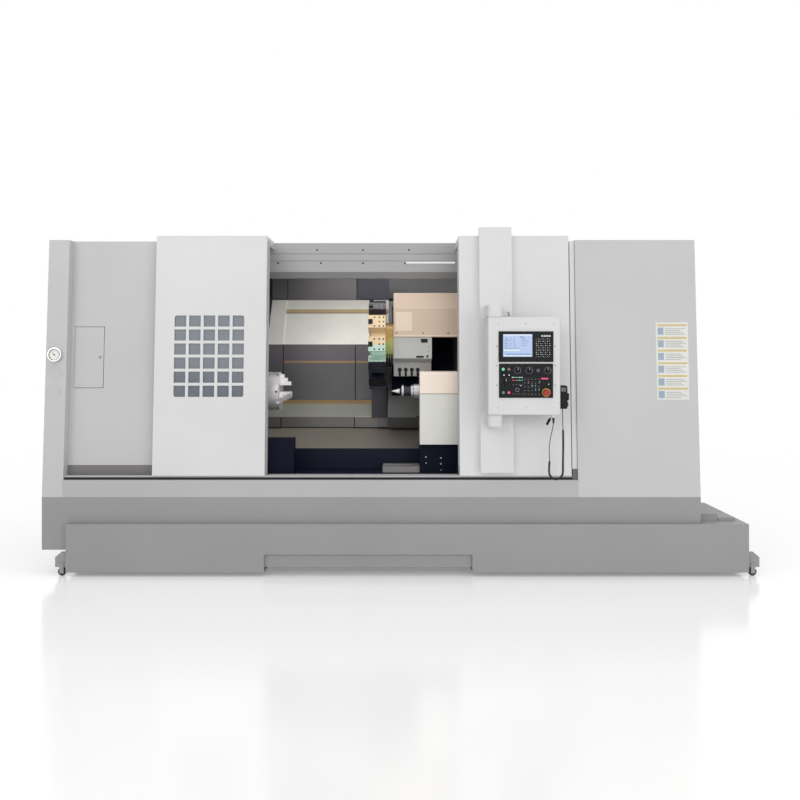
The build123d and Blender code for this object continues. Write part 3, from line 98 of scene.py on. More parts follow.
def add(tree, kind, inputs=None, stops=None, **settings):
    """Adds a node. Inputs are values, other nodes' sockets, or nodes, each of which stands for
    its first output. Stops are a ramp's places and colours."""
    node = tree.nodes.new("ShaderNode" + kind)
    for name, value in settings.items():
        setattr(node, name, value)
    for name, value in (inputs or {}).items():
        if isinstance(value, bpy.types.Node):
            value = value.outputs[0]
        if isinstance(value, bpy.types.NodeSocket):
            tree.links.new(value, node.inputs[name])
        else:
            node.inputs[name].default_value = value
    if stops:
        ramp = node.color_ramp
        while len(ramp.elements) < len(stops):
            ramp.elements.new(0.5)
        for element, (place, colour) in zip(ramp.elements, stops):
            element.position = place
            element.color = colour
    return node


def start(name):
    """An empty material, its node tree and its Object coordinates."""
    material = bpy.data.materials.new(name)
    material.use_nodes = True
    tree = material.node_tree
    tree.nodes.clear()
    return material, tree, add(tree, "TexCoord").outputs["Object"]


def surfaced(material, inputs, bump=None):
    """The material with its shader's inputs, and a bump where a pattern gives one."""
    tree = material.node_tree
    if bump:
        inputs["Normal"] = add(tree, "Bump", bump)
    add(tree, "OutputMaterial", {"Surface": add(tree, "BsdfPrincipled", inputs)})
    return material


def shade(hex_colour, factor):
    """The same colour, lighter or darker by a factor."""
    r, g, b, a = linear(hex_colour)
    return (min(1, r * factor), min(1, g * factor), min(1, b * factor), a)


def tones(colour, dark, light, top=0.7):
    """A ramp's colours, from a darker to a lighter version of one."""
    return [(0.3, shade(colour, dark)), (top, shade(colour, light))]


# %% [markdown]
# ## Painted sheet metal
# The cabinet is folded steel sheet with a baked powder coat. Powder melts into a skin with a faint
# orange peel, a few millimetres from hill to hill, and it is never quite one colour: large panels
# drift by a percent or two. The peel is drawn at 9 mm here, coarser than the real 2 or 3 mm,
# because at this distance one pixel covers 7 mm.

# %% Powder coat
PEEL = 0.009  # from hill to hill
DRIFT = 0.8  # from a lighter part of a panel to a darker one
DUST_SCALE = 14  # dull patches of about 70 mm


def powder_coat(name, colour, roughness=0.42, below=None, glint=0.5):
    """Baked powder coat. Below a height, given with its own colour, the coat takes that colour: the
    lower casting on the tailstock, painted shade on the header's lower fold.
    """
    material, tree, place = start(name)
    drift = add(tree, "TexNoise", {"Vector": place, "Scale": 1 / DRIFT, "Detail": 3})
    tone = add(tree, "ValToRGB", {"Fac": drift}, tones(colour, 0.965, 1.03))
    if below:
        height = add(tree, "SeparateXYZ", {"Vector": place}).outputs["Z"]
        is_low = add(tree, "Math", {0: height, 1: below[0]}, operation="LESS_THAN")
        both = {0: is_low, 6: tone, 7: linear(below[1])}
        tone = add(tree, "Mix", both, data_type="RGBA").outputs[2]
    patches = {"Vector": place, "Scale": DUST_SCALE, "Detail": 6, "Roughness": 0.7}
    dust = add(tree, "TexNoise", patches)
    gloss = {"Value": dust, "To Min": roughness - 0.07, "To Max": roughness + 0.09}
    skin = add(tree, "TexNoise", {"Vector": place, "Scale": 1 / PEEL, "Detail": 2})
    inputs = {
        "Base Color": tone,
        "Roughness": add(tree, "MapRange", gloss),
        "IOR": 1.5,
        "Specular IOR Level": glint,
    }
    return surfaced(material, inputs, {"Height": skin, "Strength": 0.35, "Distance": 0.0004})


# %% [markdown]
# ## Bare and ground metal
# Inside the machine the sheets are stainless steel, ground along their length, and the chuck, the
# spindle and the quill are turned. Grinding leaves fine lines one way, so the noise is stretched
# along them. Turning leaves rings round the spindle, so a ring wave is centred on its axis. Both
# are drawn far coarser than the real tenths of a millimetre, so that they show.

# %% Steel, ground and turned
SPINDLE = (0, BASE_FRONT + 0.42, 1.217)
GRIND = 0.004  # between the lines of a ground sheet
RING = 0.006  # between the rings of a turned face
SHEET_STAINS = 2.5  # noise scale: stains of about 400 mm on the sheets
TURNED_STAINS = 9  # and of about 110 mm on turned pieces


def ground_steel(name, colour, roughness=0.38, metallic=0.85, along="Z", glint=0.5):
    """Steel ground along X. Its colour is one, or bands of (place, colour) along an axis."""
    material, tree, place = start(name)
    along_x = {"Vector": place, "Scale": (0.02 / GRIND, 1 / GRIND, 1 / GRIND)}
    stretched = add(tree, "Mapping", along_x)
    lines = add(tree, "TexNoise", {"Vector": stretched, "Scale": 1, "Detail": 3})
    stains = {"Vector": place, "Scale": SHEET_STAINS, "Detail": 5, "Roughness": 0.65}
    cloud = add(tree, "TexNoise", stains)
    if isinstance(colour, list):
        low, high = colour[0][0], colour[-1][0]
        split = add(tree, "SeparateXYZ", {"Vector": place})
        span = {"Value": split.outputs[along], "From Min": low, "From Max": high}
        stops = [((z - low) / (high - low), linear(tint)) for z, tint in colour]
        field = add(tree, "ValToRGB", {"Fac": add(tree, "MapRange", span)}, stops)
        field.color_ramp.interpolation = "CONSTANT"
    else:
        field = add(tree, "ValToRGB", {"Fac": cloud}, tones(colour, 0.9, 1.08))
    wear = add(tree, "MapRange", {"Value": cloud, "To Min": 0.82, "To Max": 1.16})
    gloss = {"Value": lines, "To Min": roughness - 0.1, "To Max": roughness + 0.12}
    inputs = {
        "Base Color": add(tree, "HueSaturation", {"Color": field, "Value": wear}),
        "Metallic": metallic,
        "Specular IOR Level": glint,
        "Roughness": add(tree, "MapRange", gloss),
    }
    return surfaced(material, inputs, {"Height": lines, "Strength": 0.3, "Distance": 0.0003})


def turned_steel(name, colour, roughness=0.28, metallic=0.95):
    """Steel turned about the spindle's axis."""
    material, tree, place = start(name)
    centred = add(tree, "Mapping", {"Vector": place, "Location": tuple(-v for v in SPINDLE)})
    wave = {"Vector": centred, "Scale": 1 / (20 * RING), "Distortion": 0.6, "Detail": 3}
    wave["Detail Scale"] = 4
    rings = add(tree, "TexWave", wave, wave_type="RINGS", rings_direction="X").outputs["Fac"]
    stains = {"Vector": place, "Scale": TURNED_STAINS, "Detail": 5, "Roughness": 0.7}
    cloud = add(tree, "TexNoise", stains)
    gloss = {"Value": rings, "To Min": roughness - 0.05, "To Max": roughness + 0.12}
    inputs = {
        "Base Color": add(tree, "ValToRGB", {"Fac": cloud}, tones(colour, 0.82, 1.1, 0.72)),
        "Metallic": metallic,
        "Roughness": add(tree, "MapRange", gloss),
    }
    return surfaced(material, inputs, {"Height": rings, "Strength": 0.25, "Distance": 0.0004})


# %% [markdown]
# ## Cast iron, plastics, rubber and glass
# Castings have a sandy skin under their paint. Moulded ABS has a fine spark-eroded grain, soft
# rubber scatters light at a wide angle, and the window is tinted safety glass behind bars. Grains
# are drawn at 3 mm or more, coarser than real ones, so that they show.

# %% Cast iron, plastics, rubber and glass
GRIME = 6  # noise scale: patches of about 170 mm
MIST = 5  # dried coolant mist, about 200 mm
LAMP_CLOUD = 60  # a lit surface is uneven over about 17 mm
LENS_SHARE = 0.35  # of a lamp's colour that the lens itself reflects, the rest being light


def grained(name, colour, roughness, grain, depth=0.0001, metallic=0.0, coat=0.0, glint=0.5):
    """A solid-coloured material with a grain of one size: castings, ABS and rubber."""
    material, tree, place = start(name)
    pits = add(tree, "TexNoise", {"Vector": place, "Scale": 1 / grain, "Detail": 4})
    cloud = add(tree, "TexNoise", {"Vector": place, "Scale": GRIME, "Detail": 4, "Roughness": 0.7})
    gloss = {"Value": pits, "To Min": roughness - 0.06, "To Max": roughness + 0.08}
    inputs = {
        "Base Color": add(tree, "ValToRGB", {"Fac": cloud}, tones(colour, 0.94, 1.06)),
        "Metallic": metallic,
        "Roughness": add(tree, "MapRange", gloss),
        "Specular IOR Level": glint,
        "Coat Weight": coat,
        "Coat Roughness": 0.12,
    }
    return surfaced(material, inputs, {"Height": pits, "Strength": 0.4, "Distance": depth})


def tinted_glass(name, colour):
    """Laminated safety glass with a grey tint, a little dusty from coolant mist."""
    material, tree, place = start(name)
    mist = add(tree, "TexNoise", {"Vector": place, "Scale": MIST, "Detail": 6, "Roughness": 0.7})
    inputs = {
        "Base Color": add(tree, "ValToRGB", {"Fac": mist}, tones(colour, 0.92, 1.08)),
        "Roughness": add(tree, "MapRange", {"Value": mist, "To Min": 0.02, "To Max": 0.16}),
        "IOR": 1.52,
        "Transmission Weight": 0.12,
    }
    return surfaced(material, inputs)


def glowing(name, colour, strength):
    """A lamp or a lit screen. A strength of 1 shows the written colour in the studio light."""
    material, tree, place = start(name)
    cloud = add(tree, "TexNoise", {"Vector": place, "Scale": LAMP_CLOUD, "Detail": 2})
    inputs = {
        "Base Color": shade(colour, LENS_SHARE),
        "Roughness": 0.25,
        "Emission Color": add(tree, "ValToRGB", {"Fac": cloud}, tones(colour, 0.95, 1.05)),
        "Emission Strength": strength - LENS_SHARE,
    }
    return surfaced(material, inputs)


# %% [markdown]
# ## The machine's finishes
# Each finish is matched to the picture. The pale grey of the doors is lighter than the fixed
# cabinet behind them, the skirt and the tank are a middle grey, and everything that coolant
# reaches is either bare steel or a dark blue-black enamel.

# %% Finishes
door_white = powder_coat("door_powder_coat", "dcdcdc")
cabinet_grey = powder_coat("cabinet_powder_coat", "c6c6c7")
sill_grey = powder_coat("sill_powder_coat", "b9b9b9")
skirt_grey = powder_coat("skirt_powder_coat", "9a9a9a")
# Below 2.075 m the header's fold slopes back underneath, and it is painted darker as shade
header_grey = powder_coat("header_powder_coat", "adadad", below=(2.075, "8b8b8b"))
navy_enamel = powder_coat("oil_resistant_enamel", "0a1022", roughness=0.6, glint=0.12)
turret_enamel = powder_coat("turret_enamel", "bfc0bd", roughness=0.38)
cover_cream = powder_coat("motor_cover_enamel", "d8c1ac", roughness=0.4)
motor_enamel = powder_coat("motor_enamel", "4a4d50", roughness=0.5)
# The covers' brass strips and their painted light and shade, each from its height up to the next:
# pale bands on the faces that slope up, dark ones on the upright faces
COVER_SHADE_AND_BRASS_BANDS = [
    (0.88, "6a6763"),
    (1.001, "a8a99f"),
    (1.095, "ab8f60"),
    (1.119, "5f5f60"),
    (1.412, "9a7c5c"),
    (1.427, "646165"),
    (1.552, "f4f3ec"),
    (1.802, "6f5f50"),
    (1.807, "cbb58a"),
    (1.835, "f2f1ea"),
    (1.917, "504e4e"),
    (2.3, "504e4e"),
]
BRASS = ("ab8f60", "9a7c5c", "6f5f50", "cbb58a")
PLATE_SHADE_BANDS = [(z, tint) for z, tint in COVER_SHADE_AND_BRASS_BANDS if tint not in BRASS]
# On the saddle's cover the top, above 1.9 m, is painted darker still as shade
SADDLE_SHADE_BANDS = [(z, "22202e") if z > 1.9 else (z, tint) for z, tint in COVER_SHADE_AND_BRASS_BANDS]
cover_steel = ground_steel("ground_way_cover", COVER_SHADE_AND_BRASS_BANDS, metallic=0.35)
plate_steel = ground_steel("ground_end_plate", PLATE_SHADE_BANDS, metallic=0.35)
saddle_steel = ground_steel("ground_saddle_cover", SADDLE_SHADE_BANDS, metallic=0.35)
CHIP_BANDS = [(0.4, "0b1328"), (0.79, "8e867e"), (1.000, "8e867e")]
chip_steel = ground_steel("chip_guard_steel", CHIP_BANDS, 0.45, 0.1, glint=0.2)
BED_BANDS = [(0.1, "4a4a4c"), (0.645, "8f8d8c"), (0.7, "4a4a4c"), (2.000, "4a4a4c")]
bed_iron = ground_steel("scraped_bed_iron", BED_BANDS, 0.5, 0.3)
cream_enamel = powder_coat("tailstock_enamel", "fbebdc", roughness=0.36, below=(1.205, "dfded8"))
casting_iron = grained("painted_cast_iron", "6b6b69", 0.6, 0.012, 0.0012)
# The disc's blocks are alike, so their bands by height are painted light and shade: dark at the
# disc's foot and top, pale in between
TOOL_SHADE_AND_LIGHT_BANDS = [
    (1.225, "0d1120"),
    (1.425, "bcd6c8"),
    (1.544, "e2caa6"),
    (1.761, "2b2935"),
    (1.876, "2b2935"),
]
CENTRE_BANDS = [(-0.064, "f2f2f0"), (-0.004, "2a2838"), (0.206, "2a2838")]
tool_steel = ground_steel("tool_block_steel_painted_shade", TOOL_SHADE_AND_LIGHT_BANDS, metallic=0.3)
centre_steel = ground_steel("ground_centre_steel", CENTRE_BANDS, metallic=0.3, along="X")
shaft_steel = turned_steel("turned_steel", "c4c6c8", metallic=0.7)
chuck_steel = turned_steel("turned_chuck_steel", "e6e3e4", roughness=0.3, metallic=0.55)
black_abs = grained("black_abs", "17181b", 0.55, 0.004, 0.0003, glint=0.2)
cord_rubber = grained("black_cord_rubber", "232325", 0.5, 0.003, 0.0003)
belt_rubber = grained("belt_rubber", "1b1b1b", 0.7, 0.004, 0.0004)
wheel_nylon = grained("wheel_nylon", "222224", 0.4, 0.006, 0.0003)
zinc_steel = grained("zinc_plated_steel", "8d8f92", 0.35, 0.01, 0.0003, metallic=0.9)
chrome_rim = grained("chromed_brass", "c9cbcd", 0.12, 0.02, metallic=1.0)
window_glass = tinted_glass("tinted_safety_glass", "6f7681")
stop_red = grained("red_stop_plastic", "a3211f", 0.35, 0.006, 0.0002, coat=0.12, glint=0.3)
start_green = grained("green_button_plastic", "1f9a62", 0.3, 0.006, 0.0002, coat=0.5)

KNOBS = ("mode_knob", "feed_knob")
finish_of = {
    door_white: ("left_door", "right_door", "panel_column", "control_box"),
    cabinet_grey: ("left_cabinet", "right_cabinet", "rear_cover", "side_hatch"),
    sill_grey: ("door_sill",),
    skirt_grey: ("base_skirt", "coolant_tank"),
    header_grey: ("header_beam",),
    navy_enamel: ("inner_walls", "tailstock_base", "cross_slide"),
    turret_enamel: ("turret_body",),
    cover_cream: ("turret_cover",),
    cream_enamel: ("tailstock_body",),
    motor_enamel: ("z_servo", "spindle_motor"),
    cover_steel: ("way_cover_left", "way_cover_right"),
    plate_steel: ("way_cover_fixed",),
    saddle_steel: ("way_cover_inner",),
    chip_steel: ("chip_guard",),
    bed_iron: ("bed_casting",),
    casting_iron: ("saddle", "headstock"),
    shaft_steel: ("z_ball_screw", "spindle", "draw_tube", "motor_pulley", "quill"),
    tool_steel: ("turret_disc", "tool_blocks"),
    centre_steel: ("live_centre",),
    chuck_steel: ("chuck_body", "chuck_jaw_1", "chuck_jaw_2", "chuck_jaw_3"),
    black_abs: ("screen_unit", "switch_panel", *KNOBS, "pendant", "pendant_wheel"),
    belt_rubber: ("drive_belt", "strain_relief"),
    wheel_nylon: ("wheel_left_front", "wheel_left_rear", "wheel_right_front", "wheel_right_rear"),
    zinc_steel: ("levelling_feet",),
    chrome_rim: ("pressure_gauge",),
    window_glass: ("door_window",),
    stop_red: ("emergency_stop",),
    start_green: ("start_button",),
}
for material, members in finish_of.items():
    for node in members:
        nodes[node].data.materials.clear()
        nodes[node].data.materials.append(material)
print("finishes", len(finish_of))

# %% [markdown]
# ## The pendant's cord
# A hand pendant hangs on a retractile cord: straight leads at both ends and a stretch wound into a
# tight helix, so that it can be pulled out to a few metres. The whole cord is one smooth curve.
# Its straight stretches are control points given one by one, and the wound stretch is a loop of
# points round the line that the cord hangs along. That line is read from a curve of its own, so
# the helix bends with it.

# %% Cord
# The panel's pivot stands 220 mm in front of the base, less 80 mm, and the cord hangs in its plane
PANEL_DEPTH = BASE_FRONT - 0.22 + 0.08
WIRE = 0.0052
CURL_RADIUS = 0.0052
TURN_PITCH = 0.0064
POINTS_PER_TURN = 12
lead_from_gland = [
    (1.0057, 1.026),
    (1.001, 0.99),
    (0.989, 0.945),
    (0.9795, 0.89),
    (0.9775, 0.835),
    (0.981, 0.785),
]
wound_stretch = [
    (0.981, 0.785),
    (0.977, 0.736),
    (0.978, 0.688),
    (1.005, 0.66),
    (1.043, 0.66),
    (1.069, 0.688),
    (1.068, 0.748),
    (1.0695, 0.83),
    (1.0705, 0.912),
    (1.0686, 0.99),
]
lead_to_pendant = [(1.0686, 0.99), (1.0662, 1.036), (1.0668, 1.08), (1.065, 1.123)]


def hanging(points):
    return [Vector((x, PANEL_DEPTH, z)) for x, z in points]


def smooth_curve(name, points):
    """An open NURBS curve through which the points pull a smooth line."""
    data = bpy.data.curves.new(name, "CURVE")
    data.dimensions = "3D"
    data.bevel_resolution = 3
    data.use_fill_caps = True
    spline = data.splines.new("NURBS")
    spline.points.add(len(points) - 1)
    for point, place in zip(spline.points, points):
        point.co = (*place, 1)
    spline.order_u = 3
    spline.use_endpoint_u = True
    spline.resolution_u = 4
    return placed(name, data)


def line_of(curve):
    """The points of a curve's own smooth line."""
    mesh = bpy.data.meshes.new_from_object(curve)
    points = [vertex.co.copy() for vertex in mesh.vertices]
    bpy.data.meshes.remove(mesh)
    return points


def evenly(points, step):
    """Points a step apart along a line, with the line's direction at each."""
    places = []
    carried = 0.0
    for before, after in zip(points, points[1:]):
        run = after - before
        while carried < run.length:
            places.append((before + run.normalized() * carried, run.normalized()))
            carried += step
        carried -= run.length
    return places


guide = smooth_curve("wound_guide", hanging(wound_stretch))
along = evenly(line_of(guide), TURN_PITCH / POINTS_PER_TURN)
bpy.data.objects.remove(guide)
side = Vector((0, 1, 0))
helix = []
for i, (place, direction) in enumerate(along):
    swell = min(1, i / POINTS_PER_TURN / 2, (len(along) - 1 - i) / POINTS_PER_TURN / 2)
    turn = 2 * pi * i / POINTS_PER_TURN
    across = direction.cross(side).normalized()
    helix.append(place + CURL_RADIUS * swell * (across * cos(turn) + side * sin(turn)))
route = hanging(lead_from_gland)[:-1] + helix + hanging(lead_to_pendant)[1:]
cord = smooth_curve("pendant_cord", route)
cord.data.splines[0].resolution_u = 2
measured = line_of(cord)
cord.data.bevel_depth = WIRE / 2
cord.data.materials.append(cord_rubber)
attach(cord, "panel")
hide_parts("cord_lead_a", "cord_curl", "cord_lead_b")

# %% [markdown]
# ## Tools for small parts
# Screws, lamps, dials and trims are all boxes, pegs and turned rings, so three short functions
# make them in a bmesh. A peg stands on a face and grows away from it, and the face's direction is
# given by name. The machine's front leans back by 4.6 degrees, so it has a direction of its own.

# %% Helpers for small parts
LEAN = 4.6
PAINT_LINE = 0.522
WAYS = {
    "front": Matrix.Rotation(radians(90), 4, "X"),
    "lean": Matrix.Rotation(radians(90 - LEAN), 4, "X"),
    "right": Matrix.Rotation(radians(90), 4, "Y"),
    "up": Matrix.Identity(4),
    "back": Matrix.Rotation(radians(-90), 4, "X"),
}
bm = bmesh.new()  # filled for one piece after another, and emptied when each is made


def on_front(x, z, out=0.0):
    """A place on the leaning front plane, or a distance in front of it."""
    return Vector((x, BASE_FRONT + (z - PAINT_LINE) * tan(radians(LEAN)) - out, z))


def block(bm, low, high, bevel=0.0, turn=Matrix()):
    """A box between two corners, with rounded edges where a bevel is given."""
    low, high = Vector(low), Vector(high)
    size = Matrix.Diagonal((*(high - low), 1))
    made = bmesh.ops.create_cube(
        bm, size=1, matrix=turn @ Matrix.Translation((low + high) / 2) @ size
    )
    if bevel:
        edges = list({edge for vert in made["verts"] for edge in vert.link_edges})
        bmesh.ops.bevel(
            bm, geom=edges, offset=bevel, segments=3, profile=0.5, affect="EDGES", material=-1
        )


def leaning_block(bm, x, z, out, bevel=0.0):
    """A flat box on the leaning front: its two X, its two Z and its two distances in front."""
    foot = on_front(0, z[0])
    turn = Matrix.Translation(foot) @ Matrix.Rotation(radians(-LEAN), 4, "X")
    block(bm, (x[0], -out[1], 0), (x[1], -out[0], (z[1] - z[0]) / cos(radians(LEAN))), bevel, turn)


def peg(bm, place, radius, height, way="front", tip=None, sides=20, turn=Matrix()):
    """A round peg that stands on a face, tapered to a tip radius where one is given."""
    upright = WAYS[way] @ Matrix.Translation((0, 0, height / 2))
    bmesh.ops.create_cone(
        bm,
        cap_ends=True,
        segments=sides,
        radius1=radius,
        radius2=radius if tip is None else tip,
        depth=height,
        matrix=turn @ Matrix.Translation(place) @ upright,
    )


def ring(bm, place, inner, outer, height, way="front", sides=40):
    """A ring turned from a small rectangle."""
    matrix = Matrix.Translation(place) @ WAYS[way]
    outline = [(inner, 0), (outer, 0), (outer, height), (inner, height)]
    corners = [bm.verts.new(matrix @ Vector((r, 0, h))) for r, h in outline]
    loop = [bm.edges.new(pair) for pair in zip(corners, corners[1:] + corners[:1])]
    bmesh.ops.spin(
        bm,
        geom=corners + loop,
        cent=Vector(place),
        axis=matrix.to_3x3() @ Vector((0, 0, 1)),
        angle=2 * pi,
        steps=sides,
        use_merge=True,
    )


def finished(name, bm, material, body="panel"):
    """Makes a piece of a bmesh, with a finish and a body to ride on, and empties it."""
    bmesh.ops.recalc_face_normals(bm, faces=bm.faces)
    mesh = bpy.data.meshes.new(name)
    bm.to_mesh(mesh)
    bm.clear()
    mesh.materials.append(material)
    piece = placed(name, mesh)
    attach(piece, body)


def ticks(bm, place, inner, outer, width, angles, way="front", height=0.0004):
    """Radial marks round a dial, each a thin bar, at angles in degrees from the top."""
    for angle in angles:
        turn = Matrix.Translation(place) @ WAYS[way] @ Matrix.Rotation(radians(angle), 4, "Z")
        block(bm, (-width / 2, inner, 0), (width / 2, outer, height), turn=turn)


# %% [markdown]
# ## Finishes of the small parts
# Prints and films are matt, lenses shine by themselves where they are lit, and screws are bright
# zinc or oiled black. Most of these pieces are a few pixels wide, so each is told from what it
# sits on by its tone.

# %% Finishes of the small parts
white_print = grained("white_screen_print", "e6e6e8", 0.5, 0.004)
grey_print = grained("grey_screen_print", "8a8c92", 0.5, 0.004)
ink_print = grained("dark_dial_ink", "26272b", 0.5, 0.004)
dial_white = grained("enamelled_dial", "eceae4", 0.35, 0.006, coat=0.4)
# Black for screws, and painted shade in the turret head's pockets
socket_black = grained("black_screw_and_hole_shade", "131417", 0.45, 0.003, 0.0002, glint=0.25)
screw_zinc = grained("bright_zinc_screw", "c3c5c8", 0.3, 0.003, 0.0002, metallic=0.6)
key_black = grained("membrane_key_film", "26272b", 0.5, 0.005, glint=0.2)
key_pale = grained("pale_key_cap", "cfd1d6", 0.45, 0.004)
yellow_ring = grained("yellow_stop_ring", "c39a3c", 0.4, 0.005, 0.0002)
dull_red = grained("unlit_red_lens", "8c4650", 0.3, 0.004, coat=0.5)
dull_green = grained("unlit_green_lens", "2c8a60", 0.3, 0.004, coat=0.5)
pink_lens = glowing("lit_pink_lens", "e2486e", 1.15)
green_lens = glowing("lit_green_lens", "5fd6a0", 1.15)
white_lens = glowing("lit_white_lens", "e4f0ea", 1.15)
display_blue = glowing("backlit_display", "b4c9ee", 0.95)
display_pale = glowing("display_field", "dfe8f6", 0.95)
display_ink = glowing("display_text_bar", "7c8db4", 0.95)
display_line = glowing("display_status_line", "3f76b4", 0.95)
lamp_white = glowing("work_lamp_diffuser", "e9eaec", 1.05)
# Dark rubber for the wipers, also used as the painted shadow under the doors
seal_and_shadow_rubber = grained("seal_rubber_and_painted_shadow", "2c2b30", 0.7, 0.004, 0.0005, glint=0.2)
key_steel = grained("dulled_key_barrel", "5b5c61", 0.4, 0.003, 0.0002, metallic=0.4)
# Two darker greys, painted as the shade at the foot of the walls and of the jamb
kick_shade_grey = powder_coat("kick_strip_painted_shade", "7d7a7b")
stop_shade_grey = powder_coat("jamb_foot_painted_shade", "5b595c")
NECK_BANDS = [
    (1.39, "1a1c22"),
    (1.45, "5b6a3a"),
    (1.481, "a9b452"),
    (1.573, "c9a548"),
    (1.7, "6a5a38"),
]
neck_enamel = ground_steel("oiled_neck_ring", NECK_BANDS, metallic=0.25)
pale_enamel = powder_coat("inspection_plate_enamel", "eddac7", roughness=0.4)

# %% [markdown]
# ## The operator's panel
# The upper plate is a flat display with a block of keys, the lower one carries lamps, knobs and
# membrane keys. The screen shows a plain table of values: a pale field, rows of short bars in
# place of words, a status line and a row of soft keys. Each bar is a thin box in front of the
# display, because a box stays sharp at any distance and needs no picture.

# %% Screen
PLATE = -1.111
GLASS = PLATE + 0.003
SCREEN_X = (0.6672, 0.8559)
SCREEN_Z = (1.4625, 1.6085)

block(bm, (SCREEN_X[0], GLASS - 0.001, SCREEN_Z[0]), (SCREEN_X[1], GLASS, SCREEN_Z[1]))
finished("display_glass", bm, display_blue)


def screen_bars(name, material, bars):
    """Bars on the display, as shares of its width and height from its lower left corner."""
    wide, high = SCREEN_X[1] - SCREEN_X[0], SCREEN_Z[1] - SCREEN_Z[0]
    for left, foot, right, top in bars:
        low = (SCREEN_X[0] + left * wide, GLASS - 0.0014, SCREEN_Z[0] + foot * high)
        far = (SCREEN_X[0] + right * wide, GLASS - 0.0009, SCREEN_Z[0] + top * high)
        block(bm, low, far)
    finished(name, bm, material)


fields = [(0.01, 0.93, 0.99, 0.99), (0.02, 0.26, 0.57, 0.33)]
soft_keys = [(0.03 + 0.16 * i, 0.015, 0.16 + 0.16 * i, 0.07) for i in range(6)]
screen_bars("display_fields", display_pale, fields + soft_keys)
rows = [(0.05, 0.42 + 0.075 * i, 0.13 + 0.03 * (i * 5 % 3), 0.445 + 0.075 * i) for i in range(6)]
values = [
    (0.22 + 0.13 * j, 0.42 + 0.075 * i, 0.27 + 0.13 * j + 0.015 * ((i + j) % 3), 0.44 + 0.075 * i)
    for i in range(6)
    for j in range(2)
]
right_rows = [(0.62, 0.5 + 0.09 * i, 0.8 + 0.04 * (i % 3), 0.52 + 0.09 * i) for i in range(4)]
rule = [(0.03, 0.365, 0.58, 0.385)]
titles = [(0.6, 0.84, 0.66, 0.92), (0.68, 0.8, 0.73, 0.86)]
screen_bars("display_rows", display_ink, rows + values + right_rows + rule + titles)
screen_bars("display_status", display_line, [(0.08, 0.105, 0.97, 0.135)])

# %% [markdown]
# ## Keys
# The block beside the display has nine rows of seven keys. Each key's legend is a short bar, and
# the bars differ in width as words would. Four pale keys stand over them.

# %% Keys and their legends
KEY_LEFT, KEY_FOOT, KEY_STEP = 0.878, 1.458, 0.0142
legends, pale = bmesh.new(), bmesh.new()
for row in range(9):
    for column in range(7):
        x = KEY_LEFT + column * KEY_STEP + 0.002
        z = KEY_FOOT + row * KEY_STEP + 0.0034 + 0.001 * ((row + column) % 2)
        wide = 0.0022 + 0.0016 * ((3 * row + 2 * column) % 4)
        block(legends, (x, PLATE - 0.0018, z), (x + wide, PLATE - 0.0014, z + 0.0032))
for column in range(4):
    x = 0.9135 + column * 0.0158
    block(pale, (x, PLATE - 0.002, 1.5915), (x + 0.0125, PLATE + 0.001, 1.6025), 0.0008)
finished("key_legends", legends, white_print)
finished("pale_keys", pale, key_pale)

# %% [markdown]
# ## Switches and lamps
# Every selector has a printed dial behind it and a white pointer on its grip. The pointers of the
# two knobs that turn ride with their knobs. The buttons' lenses are lit or dull.

# %% Switch plate
FACE = PLATE - 0.0002  # of the prints
SEAT = PLATE + 0.0005  # of the buttons
FEED_KNOB, MODE_KNOB = (0.836, 1.374), (0.6845, 1.298)
FIXED_KNOBS = [(0.7605, 1.374), (0.955, 1.374)]
KEY_SWITCH = (0.8946, 1.3735)
for x, z in FIXED_KNOBS + [FEED_KNOB]:
    ring(bm, (x, FACE, z), 0.0195, 0.0212, 0.0008)
    ticks(bm, (x, FACE, z), 0.0225, 0.0265, 0.0016, range(-135, 136, 30))
ticks(bm, (MODE_KNOB[0], FACE, MODE_KNOB[1]), 0.0265, 0.0305, 0.0016, range(-150, 151, 30))
ring(bm, (0.7587, FACE, 1.248), 0.01, 0.0125, 0.001)
ring(bm, (0.8935, FACE, 1.3735), 0.0095, 0.0112, 0.0008)
finished("dial_prints", bm, grey_print)


def standing_bar(bm, middle, half, y, z, bevel=0.0):
    """An upright bar: half its width, its two depths, and its two heights over a middle."""
    x, level = middle
    block(bm, (x - half, y[0], level + z[0]), (x + half, y[1], level + z[1]), bevel)


for knob in FIXED_KNOBS:
    standing_bar(bm, knob, 0.0048, (-1.1335, -1.1268), (-0.0155, 0.0155), 0.0012)
finished("knob_grips", bm, black_abs)
for knob in FIXED_KNOBS:
    standing_bar(bm, knob, 0.001, (-1.1338, -1.1334), (0.004, 0.0145))
finished("fixed_pointers", bm, white_print)
standing_bar(bm, MODE_KNOB, 0.0012, (-1.1357, -1.1351), (0.006, 0.0205))
finished("mode_pointer", bm, white_print, "mode_knob")
standing_bar(bm, FEED_KNOB, 0.001, (-1.1317, -1.1311), (0.004, 0.0148))
finished("feed_pointer", bm, white_print, "feed_knob")

peg(bm, (0.703, SEAT, 1.382), 0.0098, 0.0125, tip=0.0088)
finished("hold_lens", bm, dull_red)
peg(bm, (0.666, -1.1225, 1.382), 0.0085, 0.0016, tip=0.0078)
finished("start_lens", bm, green_lens, "start_button")
peg(bm, (0.668, SEAT, 1.231), 0.0095, 0.0125, tip=0.0085)
finished("power_on_lens", bm, dull_green)
peg(bm, (0.7036, SEAT, 1.231), 0.0095, 0.0125, tip=0.0085)
finished("power_off_lens", bm, pink_lens)
for x in (0.67, 0.703):
    peg(bm, (x, -1.1195, 1.3445), 0.0032, 0.0125, tip=0.0046)
finished("toggle_levers", bm, white_print)
peg(bm, (KEY_SWITCH[0], SEAT, KEY_SWITCH[1]), 0.0078, 0.0115)
finished("key_switch_barrel", bm, key_steel)
standing_bar(bm, KEY_SWITCH, 0.0009, (-1.1224, -1.1219), (-0.0045, 0.0045))
